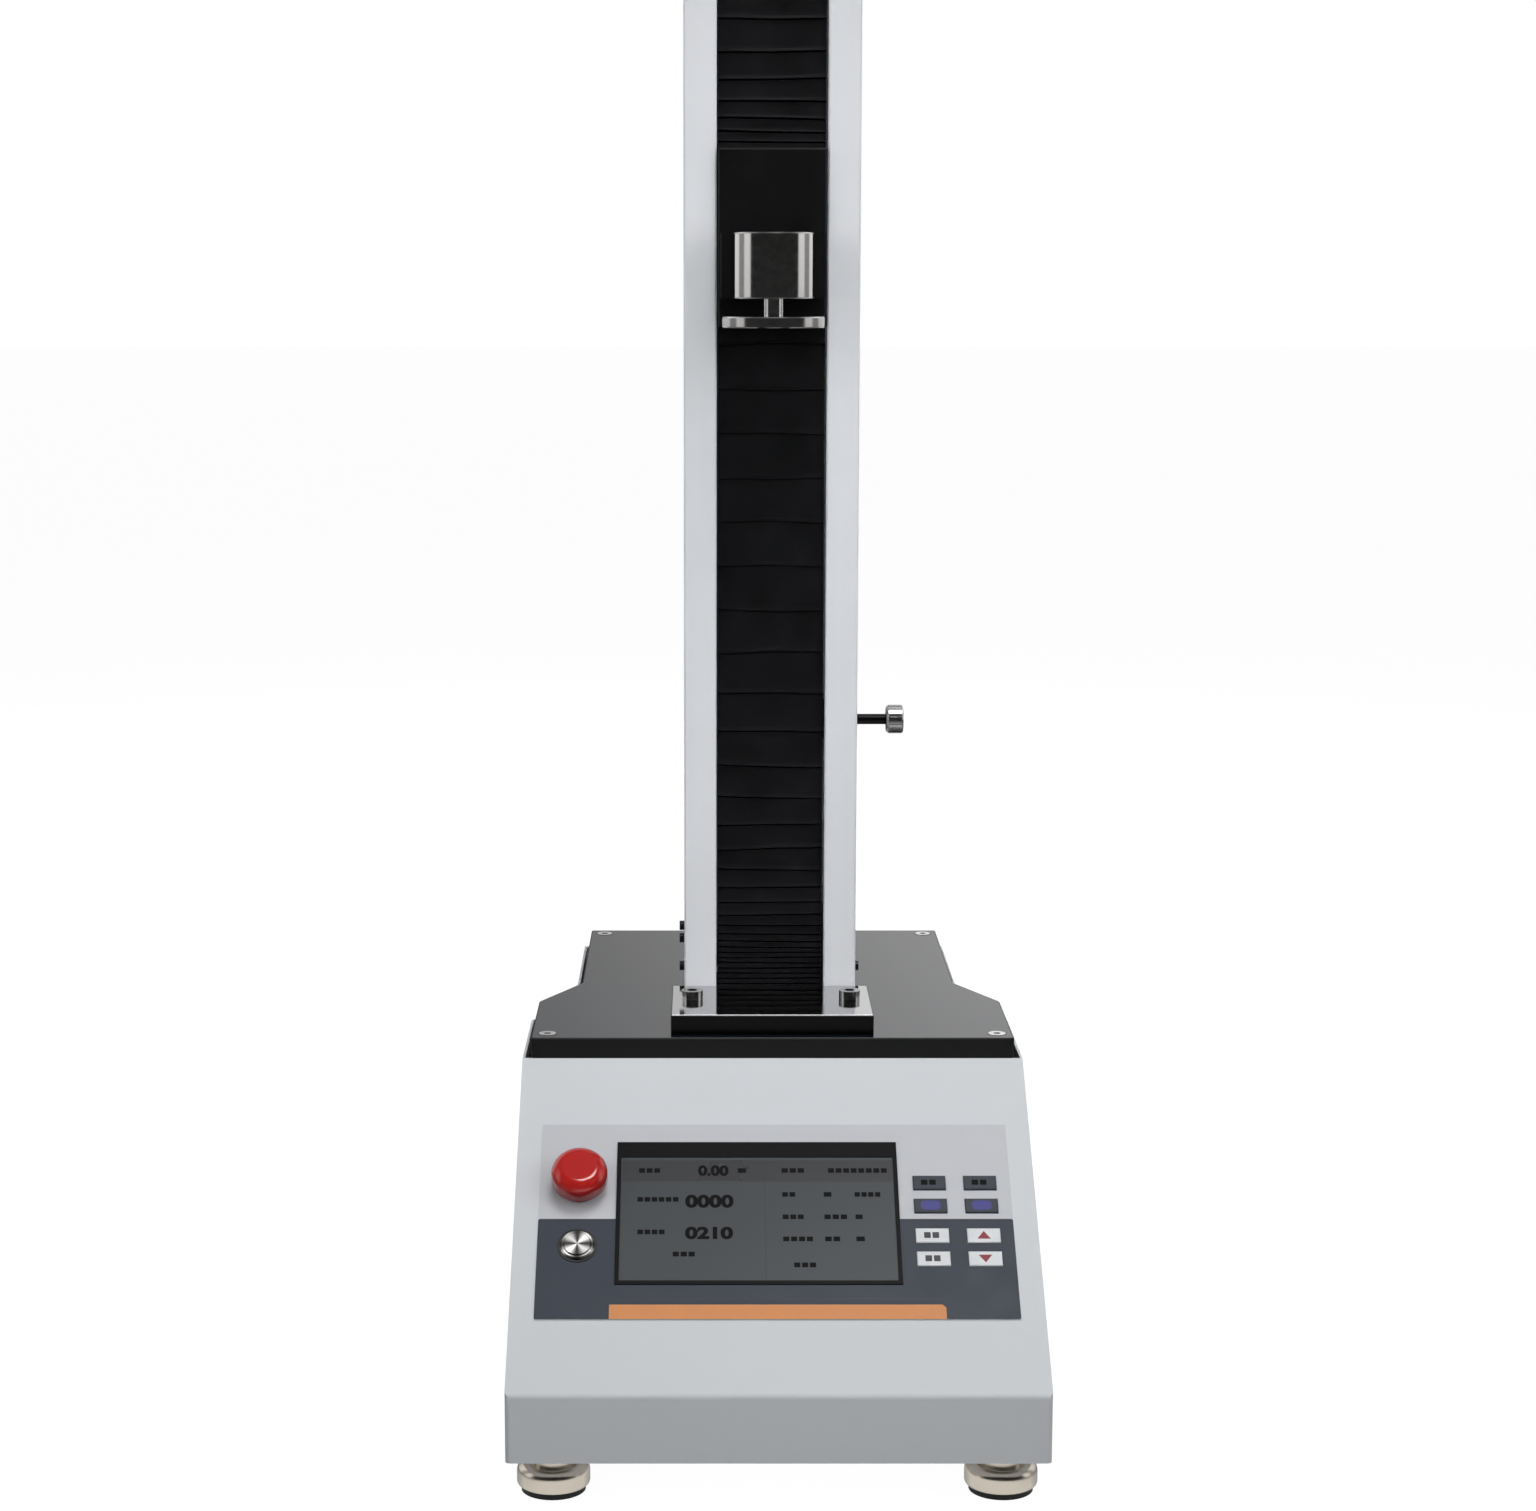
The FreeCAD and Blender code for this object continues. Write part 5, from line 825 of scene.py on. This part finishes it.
def make_world():
    """White to the camera. Reflections see a dark room in front, tall panels at the sides, white behind."""
    world = bpy.data.worlds.new("studio")
    bpy.context.scene.world = world
    world.use_nodes = True
    tree = world.node_tree

    def add(kind, **values):
        made = tree.nodes.new("ShaderNode" + kind)
        for name, value in values.items():
            if name in made.inputs:
                made.inputs[name].default_value = value
            else:
                setattr(made, name, value)
        return made

    def calculate(operation, first, second):
        made = add("Math", operation=operation)
        for index, thing in enumerate((first, second)):
            if isinstance(thing, (int, float)):
                made.inputs[index].default_value = thing
            else:
                tree.links.new(thing, made.inputs[index])
        return made.outputs[0]

    def spread(source, low, high, start, end):
        made = add("MapRange")
        for name, value in (("From Min", low), ("From Max", high), ("To Min", start), ("To Max", end)):
            made.inputs[name].default_value = value
        tree.links.new(source, made.inputs["Value"])
        return made.outputs["Result"]

    def mixed(factor, first, second):
        made = add("MixShader")
        for index, source in enumerate((factor, first.outputs[0], second.outputs[0])):
            tree.links.new(source, made.inputs[index])
        return made

    apart = add("SeparateXYZ")
    tree.links.new(add("TexCoord").outputs["Generated"], apart.inputs[0])
    x, y, z = apart.outputs
    flat = calculate("SQRT", calculate("SUBTRACT", 1.0, calculate("MULTIPLY", z, z)), 0)
    aside = calculate("SUBTRACT", y, calculate("MULTIPLY", x, PANEL_TURN))
    turned = calculate("DIVIDE", aside, calculate("MAXIMUM", flat, 0.001))
    around = add("ValToRGB")
    ramp = around.color_ramp
    ramp.elements[0].color = (DARK, DARK, DARK, 1)
    for position, level in ROOM:
        ramp.elements.new(position).color = (level, level, level, 1)
    tree.links.new(spread(turned, -1, 1, 0, 1), around.inputs["Fac"])
    left_dim = spread(x, -0.06, 0.09, 0.46, 0.95)
    behind = spread(y, 0.8, 0.9, 0, 1)
    fall = calculate("ADD", calculate("MULTIPLY", behind, calculate("SUBTRACT", left_dim, 1.0)), 1.0)
    above = spread(z, 0.55, 0.85, 1.0, 0.25)
    level = calculate("MULTIPLY", calculate("MULTIPLY", around.outputs["Color"], fall), above)
    mirrored = add("Background", Color=(1, 1, 1, 1))
    tree.links.new(level, mirrored.inputs["Strength"])
    ambient = tree.nodes["Background"]
    ambient.inputs["Color"].default_value = (1, 1, 1, 1)
    ambient.inputs["Strength"].default_value = AMBIENT
    backdrop = add("Background", Color=(1, 1, 1, 1), Strength=1.0)
    rays = add("LightPath")
    through = calculate("MAXIMUM", rays.outputs["Is Glossy Ray"], rays.outputs["Is Transmission Ray"])
    seen = mixed(rays.outputs["Is Camera Ray"], mixed(through, ambient, mirrored), backdrop)
    tree.links.new(seen.outputs[0], tree.nodes["World Output"].inputs["Surface"])


KEY_TARGET = (0, -0.1, 0.2)
SIDE_TARGET = (0, 0, 0.6)
SIDE_SIZE = (1.1, 1.2)
SIDE_SPREAD = 110
COLUMN_TARGET = (0, 0, 0.5)
BACK_TARGET = (0, 0.1, 0.45)
BACK_SIZE = (1.2, 1.2)


def add_softbox(name, place, target, size, power, mirrored=False, spread=180):
    """A rectangle of light, its power in watts, its spread in degrees, seen in reflections if mirrored."""
    lamp = bpy.data.lights.new(name, "AREA")
    lamp.shape = "RECTANGLE"
    lamp.size, lamp.size_y = size
    lamp.energy = power
    lamp.spread = math.radians(spread)
    holder = bpy.data.objects.new(name, lamp)
    bpy.context.scene.collection.objects.link(holder)
    holder.location = place
    holder.visible_glossy = mirrored
    holder.rotation_euler = (Vector(target) - Vector(place)).to_track_quat("-Z", "Y").to_euler()


CAMERA_PLACE = (-0.03856, -1.83846, 0.66670)
CAMERA_TILT = 81.151
CAMERA_LENS = 71.29
CAMERA_SHIFT = 0.0389


def make_camera():
    """Where the picture was taken from, by the fit to its edges and corners."""
    data = bpy.data.cameras.new("camera")
    data.lens = CAMERA_LENS
    data.sensor_width = 36
    data.sensor_fit = "HORIZONTAL"
    data.shift_x = CAMERA_SHIFT
    data.clip_start, data.clip_end = 0.05, 100
    holder = bpy.data.objects.new("camera", data)
    bpy.context.scene.collection.objects.link(holder)
    holder.location = CAMERA_PLACE
    holder.rotation_euler = (math.radians(CAMERA_TILT), 0, 0)
    bpy.context.scene.camera = holder


make_floor()
make_world()
add_softbox("key_light", (0.4, -1.1, 3.5), KEY_TARGET, (1.4, 1.1), power=45, mirrored=True)
add_softbox("left_light", (-1.2, -1.0, 1.1), SIDE_TARGET, SIDE_SIZE, power=3.0, spread=SIDE_SPREAD)
add_softbox("right_light", (1.2, -1.0, 1.1), SIDE_TARGET, SIDE_SIZE, power=3.8, spread=SIDE_SPREAD)
add_softbox("column_light", (0.1, -2.8, 1.4), COLUMN_TARGET, (0.6, 0.6), power=0.5, spread=24)
add_softbox("back_left_light", (-1.3, 2.2, 1.5), BACK_TARGET, BACK_SIZE, power=14)
add_softbox("back_right_light", (1.3, 2.2, 1.5), BACK_TARGET, BACK_SIZE, power=16)
make_camera()
bpy.context.scene.view_settings.view_transform = "Standard"
